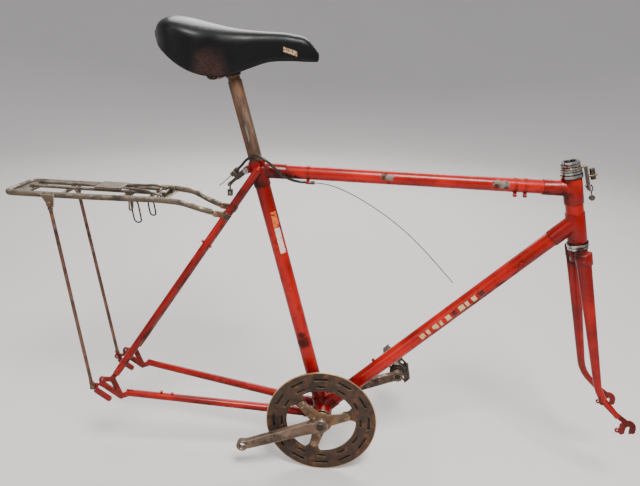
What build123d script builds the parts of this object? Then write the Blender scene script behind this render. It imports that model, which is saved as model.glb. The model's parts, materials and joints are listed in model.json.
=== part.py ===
from build123d import *
import math
import os

# A lugged steel road frameset: frame, fork, crankset, saddle, rear rack and centre-pull cable hangers.
# Millimetres. +X is forwards, +Y is the rider's left, +Z is up. The origin is the rear axle's centre.
# Places written with from_bb() are measured from the bottom bracket's centre.

# ---------------------------------------------------------------- driving dimensions
CHAIN_STAY_LENGTH = 440.3       # rear axle to bottom bracket
BB_DROP = 39.7                  # bottom bracket below the rear axle
SEAT_ANGLE = 74.05              # seat tube to the ground, degrees
HEAD_ANGLE = 75.5               # head tube to the ground, degrees
TOP_TUBE_HEIGHT = 503.4         # top tube's axis above the bottom bracket
TOP_TUBE_LENGTH = 576.0         # seat tube axis to head tube axis
SEAT_TUBE_LENGTH = 541.0        # bottom bracket to the seat tube's top
HEAD_TUBE_LENGTH = 124.0
HEAD_ABOVE_TOP_TUBE = 21.0      # head tube's top above the top tube's axis, along the head tube
DOWN_TUBE_JOIN = 41.0           # down tube's axis above the head tube's bottom, along the head tube
DOWN_TUBE_RISE = 5.0            # down tube's axis above the bottom bracket's centre

SEAT_TUBE_R = 14.3
DOWN_TUBE_R = 14.3
TOP_TUBE_R = 12.7
HEAD_TUBE_R = 15.9
TUBE_WALL = 1.4
HEAD_TUBE_WALL = 0.8
LUG_WALL = 1.6
LUG_REACH = 38.0                # length of a lug's socket, from the axis it leaves
BB_SHELL_R = 20.0
BB_SHELL_WIDTH = 68.0
BB_THREAD_R = 17.2

REAR_SPACING = 120.0            # between the rear dropouts' inner faces
DROPOUT_THICK = 5.0
AXLE_SLOT_WIDTH = 10.0
SLOT_ANGLE = 34.0               # rear slot falls forwards, degrees
AXLE_IN_SLOT = 16.0             # axle ahead of the slot's closed end
CHAIN_STAY_R_FRONT = 9.0
CHAIN_STAY_R_REAR = 7.0
SEAT_STAY_R = 7.2
STAY_WALL = 1.0

FORK_RAKE = 47.5
AXLE_TO_CROWN = 368.8           # front axle to the crown's top, along the steering axis
FORK_SPACING = 98.0             # between the fork tips' inner faces
FORK_TIP_THICK = 4.5
FORK_SLOT_WIDTH = 9.0
CROWN_HEIGHT = 22.0
BLADE_OFFSET_TOP = 31.0         # blade's centre from the middle plane at the crown
BLADE_TOP_LONG = 13.5           # half length of the blade's oval, fore and aft
BLADE_TOP_WIDE = 9.5
BLADE_END_R = 5.8
BLADE_WALL = 1.4
BLADE_BEND_START = 262.0        # straight part of the blade below the crown's top
STEERER_R = 12.7
STEM_BORE_R = 11.1

CRANK_LENGTH = 165.0
CRANK_ANGLE = 17.8              # left crank above the horizontal, forwards, degrees
CHAIN_LINE = 46.0               # guard's middle plane from the frame's middle plane
GUARD_R = 112.7
GUARD_THICK = 2.5
GUARD_OPENING_R = 71.0
SPIDER_BOLT_R = 52.7
CHAINRING_TEETH = 52
SPINDLE_R = 8.0
CRANK_BOSS_R = 15.0
COTTER_R = 4.7
PEDAL_THREAD_R = 7.1

SEAT_POST_R = 12.7
SEAT_POST_LENGTH = 245.0
SEAT_POST_TOP = 724.0           # post's top from the bottom bracket, along the seat tube
SADDLE_LENGTH = 281.0
SADDLE_WIDTH = 152.0
RAIL_WIRE_R = 3.5
RAIL_SPACING = 44.0

RACK_RAIL_R = 5.6
RACK_HALF_WIDTH = 50.0
RACK_HEIGHT = 444.0             # rails' axis above the bottom bracket
RACK_REAR = -611.0              # rack's rear tube from the bottom bracket
RACK_WIRE_R = 3.2
STRUT_R = 3.5

HOUSING_R = 2.5
CABLE_R = 0.8
M5_R = 2.5
M6_R = 3.0

RUNNING = 0.05                  # radial clearance of a running fit
GAP = 0.3                       # clearance between pieces of different bodies

# ---------------------------------------------------------------- places worked out from them
BB_X = math.sqrt(CHAIN_STAY_LENGTH ** 2 - BB_DROP ** 2)
UP = Vector(0, 0, 1)
LEFT = Vector(0, 1, 0)


def from_bb(x, y, z):
    return Vector(BB_X + x, y, z - BB_DROP)


def slanted(angle):
    """Unit vector up a tube that leans back at this angle to the ground."""
    return Vector(-math.cos(math.radians(angle)), 0, math.sin(math.radians(angle)))


def ahead_of(axis):
    """Unit vector forwards, square to an axis that lies in the middle plane."""
    return Vector(axis.Z, 0, -axis.X)


SEAT_AXIS = slanted(SEAT_ANGLE)
HEAD_AXIS = slanted(HEAD_ANGLE)
HEAD_AHEAD = ahead_of(HEAD_AXIS)
SEAT_AHEAD = ahead_of(SEAT_AXIS)
BB = from_bb(0, 0, 0)
SEAT_JOIN = BB + SEAT_AXIS * (TOP_TUBE_HEIGHT / SEAT_AXIS.Z)
HEAD_JOIN = SEAT_JOIN + Vector(TOP_TUBE_LENGTH, 0, 0)
HEAD_TOP = HEAD_JOIN + HEAD_AXIS * HEAD_ABOVE_TOP_TUBE
HEAD_BOTTOM = HEAD_TOP - HEAD_AXIS * HEAD_TUBE_LENGTH
DOWN_JOIN = HEAD_BOTTOM + HEAD_AXIS * DOWN_TUBE_JOIN
DOWN_START = from_bb(0, 0, DOWN_TUBE_RISE)
SEAT_TOP = BB + SEAT_AXIS * SEAT_TUBE_LENGTH
DROPOUT_Y = (REAR_SPACING + DROPOUT_THICK) / 2
LUG_SEAT_R = SEAT_TUBE_R + LUG_WALL
STAY_TOP_Y = LUG_SEAT_R + SEAT_STAY_R - 0.6

LOWER_STACK = 13.0
CROWN_TOP = HEAD_BOTTOM - HEAD_AXIS * LOWER_STACK
FRONT_AXLE = CROWN_TOP - HEAD_AXIS * AXLE_TO_CROWN + HEAD_AHEAD * FORK_RAKE

# ---------------------------------------------------------------- shape helpers
CENTRED = (Align.CENTER, Align.CENTER, Align.MIN)
MARGIN = 1.0                    # how far a cutting tool runs past the face it cuts


def rod(a, b, radius):
    return Plane(origin=a, z_dir=b - a) * Cylinder(radius, (b - a).length, align=CENTRED)


def taper(a, b, radius_a, radius_b):
    return Plane(origin=a, z_dir=b - a) * Cone(radius_a, radius_b, (b - a).length, align=CENTRED)


def pipe(a, b, outer, inner):
    along = (b - a).normalized() * MARGIN
    return rod(a, b, outer) - rod(a - along, b + along, inner)


def collar(centre, axis, low, high, outer, inner):
    """Ring round an axis, between two distances along it from a centre."""
    return pipe(centre + axis * low, centre + axis * high, outer, inner)


def disc(centre, axis, low, high, radius):
    return rod(centre + axis * low, centre + axis * high, radius)


def hexagon(centre, axis, low, high, across):
    start = Plane(origin=centre + axis * low, z_dir=axis)
    return extrude(start * RegularPolygon(across / 2, 6, major_radius=False), high - low)


def bar(a, b, width, thick):
    """Flat bar from a to b: width along Y, thick square to both."""
    plane = Plane(origin=a, x_dir=LEFT, z_dir=b - a)
    return plane * Box(width, thick, (b - a).length, align=CENTRED)


def block(low, high):
    """Box between two opposite corners."""
    size = high - low
    return Pos((low + high) * 0.5) * Box(size.X, size.Y, size.Z)


def plate(outline, y_low, y_high):
    """An outline in X and Z, as thick as the two Y values are apart."""
    plane = Plane(origin=(0, y_high, 0), x_dir=(1, 0, 0), z_dir=(0, -1, 0))
    return extrude(plane * outline, y_high - y_low)


def capsule(a, b, radius):
    """Outline in X and Z: a straight bar with round ends about two points."""
    run = b - a
    turn = math.degrees(math.atan2(run.Z, run.X))
    middle = (a + b) * 0.5
    return Pos(middle.X, middle.Z) * Rot(0, 0, turn) * SlotOverall(run.length + 2 * radius, 2 * radius)


def spot(a, radius):
    return Pos(a.X, a.Z) * Circle(radius)


def bent_path(points):
    """Straight runs joined by arcs as large as 0.45 of the shorter run allows, with their radii."""
    radii = []
    for before, here, after in zip(points, points[1:], points[2:]):
        half_turn = math.radians((here - before).get_angle(after - here)) / 2
        shorter = min((here - before).length, (after - here).length)
        radii.append(0.45 * shorter / math.tan(half_turn))
    return FilletPolyline(*points, radius=radii), radii


def swept(points, radius):
    path, radii = bent_path(points)
    solid = sweep(Plane(origin=path @ 0, z_dir=path % 0) * Circle(radius), path=path)
    return solid, path, radii


def mirrored(shape):
    return mirror(shape, about=Plane.XZ)


def both_sides(shape):
    return [shape, mirrored(shape)]


def save(name, *shapes):
    solids = [solid for shape in shapes for solid in shape.solids()]
    os.makedirs("parts", exist_ok=True)
    export_step(Compound(children=solids), f"parts/{name}.step")


def save_cord(name, points, radius):
    """A free wire's tube, with its arcs' radii and its volume against section times length."""
    solid, path, radii = swept(points, radius)
    expected = math.pi * radius ** 2 * path.length
    print(name, "length", round(path.length, 1), "radii", [round(r) for r in radii],
          "volume share", round(solid.volume / expected, 4))
    save(name, solid)


# ---------------------------------------------------------------- main tubes
# Four straight tubes. Each is mitred where it meets another tube and ends there.
head_outer = rod(HEAD_BOTTOM - HEAD_AXIS * MARGIN, HEAD_TOP + HEAD_AXIS * MARGIN, HEAD_TUBE_R)
seat_outer = rod(BB, SEAT_TOP, SEAT_TUBE_R)
top_outer = rod(SEAT_JOIN, HEAD_JOIN, TOP_TUBE_R)
down_outer = rod(DOWN_START, DOWN_JOIN, DOWN_TUBE_R)
shell_outer = rod(BB - LEFT * BB_SHELL_WIDTH / 2, BB + LEFT * BB_SHELL_WIDTH / 2, BB_SHELL_R)

POST_BORE_R = SEAT_POST_R + RUNNING
HEAD_BORE_R = HEAD_TUBE_R - HEAD_TUBE_WALL
SLIT_WIDTH = 3.0
SLIT_LENGTH = 26.0
seat_slit = bar(SEAT_TOP - SEAT_AXIS * SLIT_LENGTH - SEAT_AHEAD * 20,
                SEAT_TOP + SEAT_AXIS * MARGIN - SEAT_AHEAD * 20, SLIT_WIDTH, 40)

head_tube = pipe(HEAD_BOTTOM, HEAD_TOP, HEAD_TUBE_R, HEAD_BORE_R)
top_tube = pipe(SEAT_JOIN, HEAD_JOIN, TOP_TUBE_R, TOP_TUBE_R - TUBE_WALL) - head_outer - seat_outer
seat_tube = pipe(BB, SEAT_TOP, SEAT_TUBE_R, POST_BORE_R) - shell_outer - seat_slit
down_tube = pipe(DOWN_START, DOWN_JOIN, DOWN_TUBE_R, DOWN_TUBE_R - TUBE_WALL) - head_outer
down_tube = down_tube - shell_outer - seat_outer
save("head_tube", head_tube)
save("top_tube", top_tube)
save("seat_tube", seat_tube)
save("down_tube", down_tube)

# ---------------------------------------------------------------- lugs
# Sleeves brazed over the joints. The tubes fill their sockets face to face.
LUG_LONG = 62.0                 # upper head lug's sleeve, down from the head tube's top
LOWER_LUG_LONG = 58.0


def head_lug(low, high, join, towards, tube_r, tube_outer):
    sleeve = rod(HEAD_BOTTOM + HEAD_AXIS * low, HEAD_BOTTOM + HEAD_AXIS * high, HEAD_TUBE_R + LUG_WALL)
    along = (towards - join).normalized()
    socket = rod(join, join + along * (LUG_REACH + HEAD_TUBE_R), tube_r + LUG_WALL)
    return sleeve + socket - head_outer - tube_outer


upper_lug = head_lug(HEAD_TUBE_LENGTH - LUG_LONG + 14, HEAD_TUBE_LENGTH, HEAD_JOIN, SEAT_JOIN,
                     TOP_TUBE_R, top_outer)
lower_lug = head_lug(0, LOWER_LUG_LONG, DOWN_JOIN, DOWN_START, DOWN_TUBE_R, down_outer)
lower_lug = lower_lug - upper_lug
save("head_lug_upper", upper_lug)
save("head_lug_lower", lower_lug)

BINDER_BACK = 21.5              # binder bolt behind the seat tube's axis
BINDER_DOWN = 12.0              # binder bolt below the seat tube's top
EAR_R = 6.5
EAR_WIDTH = 18.0
binder = SEAT_TOP - SEAT_AXIS * BINDER_DOWN - SEAT_AHEAD * BINDER_BACK
SEAT_LUG_LONG = 48.0
seat_lug = rod(SEAT_TOP - SEAT_AXIS * SEAT_LUG_LONG, SEAT_TOP, LUG_SEAT_R)
seat_lug = seat_lug + rod(SEAT_JOIN, SEAT_JOIN + Vector(LUG_REACH + SEAT_TUBE_R, 0, 0),
                          TOP_TUBE_R + LUG_WALL)
seat_lug = seat_lug + plate(capsule(SEAT_TOP - SEAT_AXIS * BINDER_DOWN, binder, EAR_R),
                            -EAR_WIDTH / 2, EAR_WIDTH / 2)
seat_lug = seat_lug - rod(BB, SEAT_TOP + SEAT_AXIS * MARGIN, SEAT_TUBE_R) - top_outer - seat_slit
seat_lug = seat_lug - rod(binder - LEFT * 20, binder + LEFT * 20, M6_R)
save("seat_lug", seat_lug)

# ---------------------------------------------------------------- bottom bracket shell
# A short wide tube across the frame, with a socket for each tube that runs into it.
STAY_FRONT_Y = 18.5
STAY_REAR_X = -398.0            # chain stay's rear end from the bottom bracket
STAY_REAR_Z = 42.0


def chain_stay_line(side):
    rear = from_bb(STAY_REAR_X, side * DROPOUT_Y, STAY_REAR_Z)
    front = from_bb(-12, side * STAY_FRONT_Y, 1.5)
    return rear, front


def chain_stay_solid(side, grow):
    rear, front = chain_stay_line(side)
    return taper(rear, front, CHAIN_STAY_R_REAR + grow, CHAIN_STAY_R_FRONT + grow)


SOCKET_REACH = 34.0
seat_socket = rod(BB, BB + SEAT_AXIS * SOCKET_REACH, SEAT_TUBE_R + LUG_WALL)
down_direction = (DOWN_JOIN - DOWN_START).normalized()
down_socket = rod(DOWN_START, DOWN_START + down_direction * SOCKET_REACH, DOWN_TUBE_R + LUG_WALL)
bb_shell = shell_outer + seat_socket + down_socket
for side in (-1, 1):
    rear, front = chain_stay_line(side)
    back = (rear - front).normalized()
    bb_shell = bb_shell + rod(front, front + back * (SOCKET_REACH - 8), CHAIN_STAY_R_FRONT + LUG_WALL)
bb_hollow = rod(BB - LEFT * BB_SHELL_WIDTH, BB + LEFT * BB_SHELL_WIDTH, BB_THREAD_R)
bb_shell = bb_shell - bb_hollow - (seat_outer - shell_outer) - (down_outer - shell_outer - seat_outer)
for side in (-1, 1):
    bb_shell = bb_shell - (chain_stay_solid(side, 0) - shell_outer)
save("bb_shell", bb_shell)

# ---------------------------------------------------------------- rear dropouts
# Forged plates with a slot that falls forwards, two eyelets and a tang for each stay.
slot_run = Vector(math.cos(math.radians(SLOT_ANGLE)), 0, -math.sin(math.radians(SLOT_ANGLE)))
slot_up = Vector(-slot_run.Z, 0, slot_run.X)
AXLE = Vector(0, 0, 0)
slot_end = AXLE - slot_run * AXLE_IN_SLOT
SLOT_DEPTH = 30.0
JAW_R = 5.6
EYELET_R = 6.2
upper_eyelet = AXLE + Vector(-7.6, 0, 28.6)
rear_eyelet = AXLE + Vector(-27.5, 0, 11.5)
seat_stay_foot = from_bb(-416, 0, 84)
chain_stay_foot = from_bb(STAY_REAR_X, 0, STAY_REAR_Z)
jaw_gap = AXLE_SLOT_WIDTH / 2 + JAW_R
upper_jaw_end = slot_end + slot_run * (SLOT_DEPTH + 14) + slot_up * jaw_gap
lower_jaw_end = slot_end + slot_run * (SLOT_DEPTH - 3) - slot_up * jaw_gap
upper_jaw_root = slot_end + slot_up * jaw_gap
lower_jaw_root = slot_end - slot_up * jaw_gap

outline = capsule(upper_jaw_root, upper_jaw_end, JAW_R)
outline = outline + capsule(lower_jaw_root, lower_jaw_end, JAW_R)
outline = outline + capsule(upper_jaw_root, lower_jaw_root - slot_run * 2, JAW_R)
outline = outline + capsule(upper_jaw_root, upper_eyelet, EYELET_R)
outline = outline + capsule(slot_end - slot_run * 4, rear_eyelet, EYELET_R)
outline = outline + capsule(upper_eyelet, seat_stay_foot + Vector(-11, 0, -14), 4.6)
outline = outline + capsule(seat_stay_foot + Vector(-11, 0, -14), seat_stay_foot + Vector(4, 0, 6), 5.0)
outline = outline + capsule(seat_stay_foot + Vector(-9, 0, -12), upper_jaw_end, 5.2)
outline = outline + capsule(upper_jaw_end, chain_stay_foot + Vector(8, 0, -1), 5.0)
outline = outline - capsule(slot_end, slot_end + slot_run * 60, AXLE_SLOT_WIDTH / 2)
outline = outline - spot(upper_eyelet, M5_R) - spot(rear_eyelet, M5_R)
dropout = plate(outline, -DROPOUT_Y - DROPOUT_THICK / 2, -DROPOUT_Y + DROPOUT_THICK / 2)
save("dropouts", *both_sides(dropout))

# ---------------------------------------------------------------- stays
# Chain stays taper to the rear. Both pairs are slotted over the dropouts' tangs.
tang_slot = block(from_bb(-480, -DROPOUT_Y - DROPOUT_THICK / 2, -20),
                  from_bb(-385, -DROPOUT_Y + DROPOUT_THICK / 2, 100))


def chain_stay(side):
    rear, front = chain_stay_line(side)
    inside = taper(rear + (front - rear) * 0.03, front, CHAIN_STAY_R_REAR - STAY_WALL,
                   CHAIN_STAY_R_FRONT - STAY_WALL)
    slot = tang_slot if side < 0 else mirrored(tang_slot)
    return chain_stay_solid(side, 0) - inside - shell_outer - slot


def seat_stay_line(side):
    foot = seat_stay_foot + Vector(0, side * DROPOUT_Y, 0)
    top = SEAT_JOIN + Vector(0, side * STAY_TOP_Y, 0)
    return foot, top


def seat_stay(side):
    foot, top = seat_stay_line(side)
    run = (top - foot).normalized()
    solid = rod(foot, top + run * 4, SEAT_STAY_R) + (Pos(top + run * 4) * Sphere(SEAT_STAY_R))
    solid = solid - rod(foot + run * 12, top - run * 14, SEAT_STAY_R - STAY_WALL)
    lug = rod(BB, SEAT_TOP + SEAT_AXIS * 20, LUG_SEAT_R)
    slot = tang_slot if side < 0 else mirrored(tang_slot)
    return solid - lug - top_outer - slot


save("chain_stays", chain_stay(-1), chain_stay(1))
save("seat_stays", seat_stay(-1) - seat_lug, seat_stay(1) - seat_lug)


def between_stays(line, share, radius, wall):
    """Cross tube between a pair of stays, at a share of their length from the rear."""
    right = line(-1)[0] + (line(-1)[1] - line(-1)[0]) * share
    left = line(1)[0] + (line(1)[1] - line(1)[0]) * share
    return pipe(right, left, radius, radius - wall)


CHAIN_BRIDGE_SHARE = 0.86       # bridges' places along the stays, from the rear
BRAKE_BRIDGE_SHARE = 0.76
chain_bridge = between_stays(chain_stay_line, CHAIN_BRIDGE_SHARE, 6.0, 1.2)
chain_bridge = chain_bridge - chain_stay_solid(-1, 0) - chain_stay_solid(1, 0)
brake_bridge = between_stays(seat_stay_line, BRAKE_BRIDGE_SHARE, 6.5, 1.5)
for side in (-1, 1):
    foot, top = seat_stay_line(side)
    brake_bridge = brake_bridge - rod(foot, top, SEAT_STAY_R)
stay_run = seat_stay_line(-1)[1] - seat_stay_line(-1)[0]
bridge_aim = Vector(stay_run.Z, 0, -stay_run.X).normalized()
bridge_end = seat_stay_line(-1)[0] + stay_run * BRAKE_BRIDGE_SHARE
bridge_centre = Vector(bridge_end.X, 0, bridge_end.Z)
BRIDGE_BOSS = 8.0
brake_boss = rod(bridge_centre - bridge_aim * BRIDGE_BOSS, bridge_centre + bridge_aim * BRIDGE_BOSS, 7.0)
brake_bridge = brake_bridge + brake_boss
brake_bridge = brake_bridge - rod(bridge_centre - bridge_aim * 20, bridge_centre + bridge_aim * 20, M6_R)
save("stay_bridges", chain_bridge, brake_bridge)
print("brake bridge hole", bridge_centre, "axis", bridge_aim)

# ---------------------------------------------------------------- brazed fittings
# Small stops and pegs brazed on the tubes for the cables, the shift lever and a pump.
PEG_R = 2.6


def peg_on(a, b, share, direction, tube_r, radius, length):
    """A peg standing square on a tube, at a share of its length."""
    foot = a + (b - a) * share
    square = (direction - (b - a).normalized() * direction.dot((b - a).normalized())).normalized()
    return rod(foot + square * (tube_r - 1), foot + square * (tube_r + length), radius)


down_up = Vector(-down_direction.Z, 0, down_direction.X)
stop_near = peg_on(DOWN_START, DOWN_JOIN, 0.245, down_up, DOWN_TUBE_R, 3.4, 5.0)
stop_far = peg_on(DOWN_START, DOWN_JOIN, 0.155, down_up - LEFT * 0.5, DOWN_TUBE_R, 3.0, 4.0)
lever_boss = peg_on(DOWN_START, DOWN_JOIN, 0.80, -LEFT, DOWN_TUBE_R, 5.0, 5.0)
lever_boss_left = mirrored(lever_boss)
fittings = [piece - down_outer for piece in (stop_near, stop_far, lever_boss, lever_boss_left)]
stay_rear, stay_front = chain_stay_line(-1)
for share, radius, length in ((0.18, 2.6, 5.0), (0.235, 3.0, 3.0)):
    fittings.append(peg_on(stay_rear, stay_front, share, UP, 7.2, radius, length) - chain_stay_solid(-1, 0))
foot, top = seat_stay_line(-1)
for direction in (Vector(-1, 0, 0.2), Vector(1, 0, -0.2)):
    pump_peg = peg_on(foot, top, 0.665, direction, SEAT_STAY_R, PEG_R, 4.0)
    fittings.append(pump_peg - rod(foot, top, SEAT_STAY_R))
save("brazed_fittings", *fittings)

# Cable clips: thin bands round the top tube with an eye below it for the housing.
CLIP_THICK = 1.0
CLIP_LENGTH = 6.0
CLIP_EYE_DROP = 18.3            # eye's centre from the tube's axis
clip_eye_aim = Vector(0, -0.40, -0.917).normalized()
clip_places = {"rear": -50.0, "front_a": 329.0, "front_b": 347.0}
clips = []
for place in clip_places.values():
    centre = Vector(BB_X + place, 0, HEAD_JOIN.Z)
    along = Vector(1, 0, 0)
    eye = centre + clip_eye_aim * CLIP_EYE_DROP
    band = rod(centre - along * CLIP_LENGTH / 2, centre + along * CLIP_LENGTH / 2, TOP_TUBE_R + CLIP_THICK)
    band = band + rod(eye - along * CLIP_LENGTH / 2, eye + along * CLIP_LENGTH / 2, HOUSING_R + CLIP_THICK)
    band = band + bar(centre - along * CLIP_LENGTH / 2 + clip_eye_aim * 14,
                      centre + along * CLIP_LENGTH / 2 + clip_eye_aim * 14, 3.0, 4.0)
    clips.append(band - rod(centre - along * 20, centre + along * 20, TOP_TUBE_R)
                 - rod(eye - along * 20, eye + along * 20, HOUSING_R))
save("cable_clips", *clips)

# ---------------------------------------------------------------- headset
# Two cups pressed into the head tube. On the fork: the crown race, the screwed race and the lock nut.
CUP_R = 19.6
CUP_SKIRT_R = 13.6
CUP_SKIRT = 8.0
CUP_HEIGHT = 7.0
CUP_FLOOR = 2.0
CUP_HOLLOW_R = 17.6
UPPER_STACK = 30.5              # headset above the head tube


def cup(centre, out):
    """A pressed cup: skirt inside the tube, hollow dish outside it, along the direction out."""
    skirt = collar(centre, out, -CUP_SKIRT, 0, HEAD_BORE_R, CUP_SKIRT_R)
    dish = collar(centre, out, 0, CUP_HEIGHT, CUP_R, CUP_SKIRT_R)
    return skirt + dish - disc(centre, out, CUP_FLOOR, CUP_HEIGHT + MARGIN, CUP_HOLLOW_R)


save("headset_cups", cup(HEAD_TOP, HEAD_AXIS), cup(HEAD_BOTTOM, -HEAD_AXIS))

STEERER_FIT_R = STEERER_R + RUNNING
RACE_HUG = 1.2                  # how far a race's nose reaches into its cup
RACE_HUG_R = 14.0
crown_race = collar(CROWN_TOP, HEAD_AXIS, 0, LOWER_STACK - CUP_HEIGHT - GAP, 18.6, STEERER_FIT_R)
crown_race = crown_race + collar(CROWN_TOP, HEAD_AXIS, 0, LOWER_STACK - CUP_HEIGHT + RACE_HUG,
                                 RACE_HUG_R, STEERER_FIT_R)
RACE_TOP = 15.8
screwed_race = collar(HEAD_TOP, HEAD_AXIS, CUP_HEIGHT + GAP, RACE_TOP, 18.4, STEERER_FIT_R)
screwed_race = screwed_race + collar(HEAD_TOP, HEAD_AXIS, CUP_HEIGHT - RACE_HUG, RACE_TOP,
                                     RACE_HUG_R, STEERER_FIT_R)
race_plane = Plane(origin=HEAD_TOP + HEAD_AXIS * (RACE_TOP - 5), x_dir=LEFT, z_dir=HEAD_AXIS)
for notch in PolarLocations(18.9, 20):
    screwed_race = screwed_race - race_plane * notch * Cylinder(1.1, 8, align=CENTRED)
save("headset_races", crown_race, screwed_race)

HANGER_THICK = 2.6
HANGER_TOP = RACE_TOP + HANGER_THICK
WASHER_TOP = HANGER_TOP + 1.2
lock_washer = collar(HEAD_TOP, HEAD_AXIS, HANGER_TOP, WASHER_TOP, 16.6, STEERER_FIT_R)
lock_nut = hexagon(HEAD_TOP, HEAD_AXIS, WASHER_TOP, UPPER_STACK - 3.0, 30.0)
lock_nut = lock_nut + disc(HEAD_TOP, HEAD_AXIS, UPPER_STACK - 3.0, UPPER_STACK, 15.6)
lock_nut = lock_nut - disc(HEAD_TOP, HEAD_AXIS, WASHER_TOP - MARGIN, UPPER_STACK - 1.5, STEERER_FIT_R)
lock_nut = lock_nut - disc(HEAD_TOP, HEAD_AXIS, UPPER_STACK - 2.5, UPPER_STACK + MARGIN, STEM_BORE_R + 0.4)
save("lock_nut", lock_washer, lock_nut)

# ---------------------------------------------------------------- fork
# Steerer, forged crown, two oval blades that taper and sweep forwards, and two hooked tips.
STEERER_TOP = UPPER_STACK - 1.8
BRAKE_HOLE_DOWN = 11.0          # front brake's bolt hole below the crown's top


def fork_point(down, forward, side):
    """A place measured down the steering axis from the crown's top, forwards of it, and to one side."""
    return CROWN_TOP - HEAD_AXIS * down + HEAD_AHEAD * forward + LEFT * side


def crown_shoulder(side):
    top = Plane(origin=fork_point(0, 0, side * BLADE_OFFSET_TOP), x_dir=HEAD_AHEAD, z_dir=-HEAD_AXIS)
    return extrude(top * Ellipse(BLADE_TOP_LONG + 1.6, BLADE_TOP_WIDE + 1.6), CROWN_HEIGHT)


brake_hole = rod(fork_point(BRAKE_HOLE_DOWN, -40, 0), fork_point(BRAKE_HOLE_DOWN, 40, 0), M6_R)
steerer = pipe(CROWN_TOP - HEAD_AXIS * CROWN_HEIGHT, HEAD_TOP + HEAD_AXIS * STEERER_TOP,
               STEERER_R, STEM_BORE_R)
save("steerer", steerer - brake_hole)

BLADE_SOCKET = 8.0              # blade's top below the crown's top
crown_body = Plane(origin=fork_point(0, 0, 0), x_dir=LEFT, z_dir=-HEAD_AXIS) * Box(
    BLADE_OFFSET_TOP * 2, 22, CROWN_HEIGHT, align=CENTRED)
crown = crown_body + disc(CROWN_TOP, -HEAD_AXIS, 0, CROWN_HEIGHT, 16.5)
crown = crown + crown_shoulder(-1) + crown_shoulder(1)
crown = crown - disc(CROWN_TOP, -HEAD_AXIS, -MARGIN, CROWN_HEIGHT + MARGIN, STEERER_R)

# The blade's centre line runs straight down from the crown, bends forwards on an arc and ends straight.
BEND_TURN = 31.0                # degrees the blade turns forwards
BEND_RADIUS = 95.0
BLADE_END_RUN = 33.0            # straight end after the bend
BEND_STEPS = 7


def blade_station(down, forward, direction):
    """Place down and forwards, the line's slope there, and the oval's half sizes, tapered by depth."""
    share = (down - BLADE_SOCKET) / (BLADE_BEND_START + 70 - BLADE_SOCKET)
    eased = max(0.0, min(1.0, share))
    long_half = BLADE_TOP_LONG + (BLADE_END_R - BLADE_TOP_LONG) * eased
    wide_half = BLADE_TOP_WIDE + (BLADE_END_R - BLADE_TOP_WIDE) * eased
    return down, forward, direction, long_half, wide_half


blade_stations = [blade_station(BLADE_SOCKET, -1.0, 0.0), blade_station(BLADE_BEND_START, 0.0, 0.0)]
for i in range(1, BEND_STEPS + 1):
    turn = math.radians(BEND_TURN * i / BEND_STEPS)
    blade_stations.append(blade_station(BLADE_BEND_START + BEND_RADIUS * math.sin(turn),
                                        BEND_RADIUS * (1 - math.cos(turn)), turn))
bend_down, bend_forward, last_turn = blade_stations[-1][:3]
blade_stations.append(blade_station(bend_down + BLADE_END_RUN * math.cos(last_turn),
                                    bend_forward + BLADE_END_RUN * math.sin(last_turn), last_turn))
TIP_Y = (FORK_SPACING + FORK_TIP_THICK) / 2
blade_length = blade_stations[-1][0]


def blade_y(down):
    share = (down - BLADE_SOCKET) / (blade_length - BLADE_SOCKET)
    return BLADE_OFFSET_TOP + (TIP_Y - BLADE_OFFSET_TOP) * share


def blade_loft(shrink, stations):
    faces = []
    for down, forward, turn, long_half, wide_half in stations:
        tangent = -HEAD_AXIS * math.cos(turn) + HEAD_AHEAD * math.sin(turn)
        plane = Plane(origin=fork_point(down, forward, blade_y(down)), x_dir=LEFT, z_dir=tangent)
        faces.append(plane * Ellipse(wide_half - shrink, long_half - shrink))
    return loft(faces, ruled=True)


blade = blade_loft(0, blade_stations)
blade_hollow = blade_loft(BLADE_WALL, blade_stations[:-1])
blade_left = blade - blade_hollow
tip_slot = block(FRONT_AXLE + Vector(-60, TIP_Y - FORK_TIP_THICK / 2, -60),
                 FRONT_AXLE + Vector(60, TIP_Y + FORK_TIP_THICK / 2, 60))
blade_left = blade_left - tip_slot
crown = crown - blade - mirrored(blade)
save("fork_crown", crown - brake_hole)
save("fork_blades", *both_sides(blade_left))

FORK_SLOT_DEPTH = 14.0
HOOK_R = 6.0
fork_eyelet = FRONT_AXLE + Vector(-18.6, 0, -6.0)
hook_round = FORK_SLOT_WIDTH / 2 + HOOK_R
hook_back = FRONT_AXLE - Vector(hook_round, 0, 0)
hook_front = FRONT_AXLE + Vector(hook_round, 0, 0)
tip = capsule(hook_back + UP * 3, hook_back - UP * (FORK_SLOT_DEPTH - 5), HOOK_R - 1)
tip = tip + capsule(hook_front + UP * 2, hook_front - UP * (FORK_SLOT_DEPTH - 8), HOOK_R - 1)
tip = tip + spot(FRONT_AXLE + UP * 2, hook_round + HOOK_R - 1.5)
tip = tip - (Pos(FRONT_AXLE.X, FRONT_AXLE.Z - 20) * Rectangle(FORK_SLOT_WIDTH, 40))
tip = tip + capsule(hook_back + UP * 6, hook_back - UP * (FORK_SLOT_DEPTH - 5), HOOK_R - 1)
tip = tip + capsule(hook_back - UP * 4, fork_eyelet, 4.6)
blade_end = fork_point(blade_length, blade_stations[-1][1], 0)
tang_root = blade_end - (FRONT_AXLE - blade_end).normalized() * 9
tip = tip + capsule(tang_root, FRONT_AXLE + Vector(-4, 0, 12), 4.8)
tip = tip - spot(FRONT_AXLE, FORK_SLOT_WIDTH / 2)
tip = tip - (Pos(FRONT_AXLE.X, FRONT_AXLE.Z - 20) * Rectangle(FORK_SLOT_WIDTH, 40))
tip = tip - spot(fork_eyelet, M5_R)
fork_tip = plate(tip, TIP_Y - FORK_TIP_THICK / 2, TIP_Y + FORK_TIP_THICK / 2)
save("fork_tips", *both_sides(fork_tip))
print("front axle", FRONT_AXLE)

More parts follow.
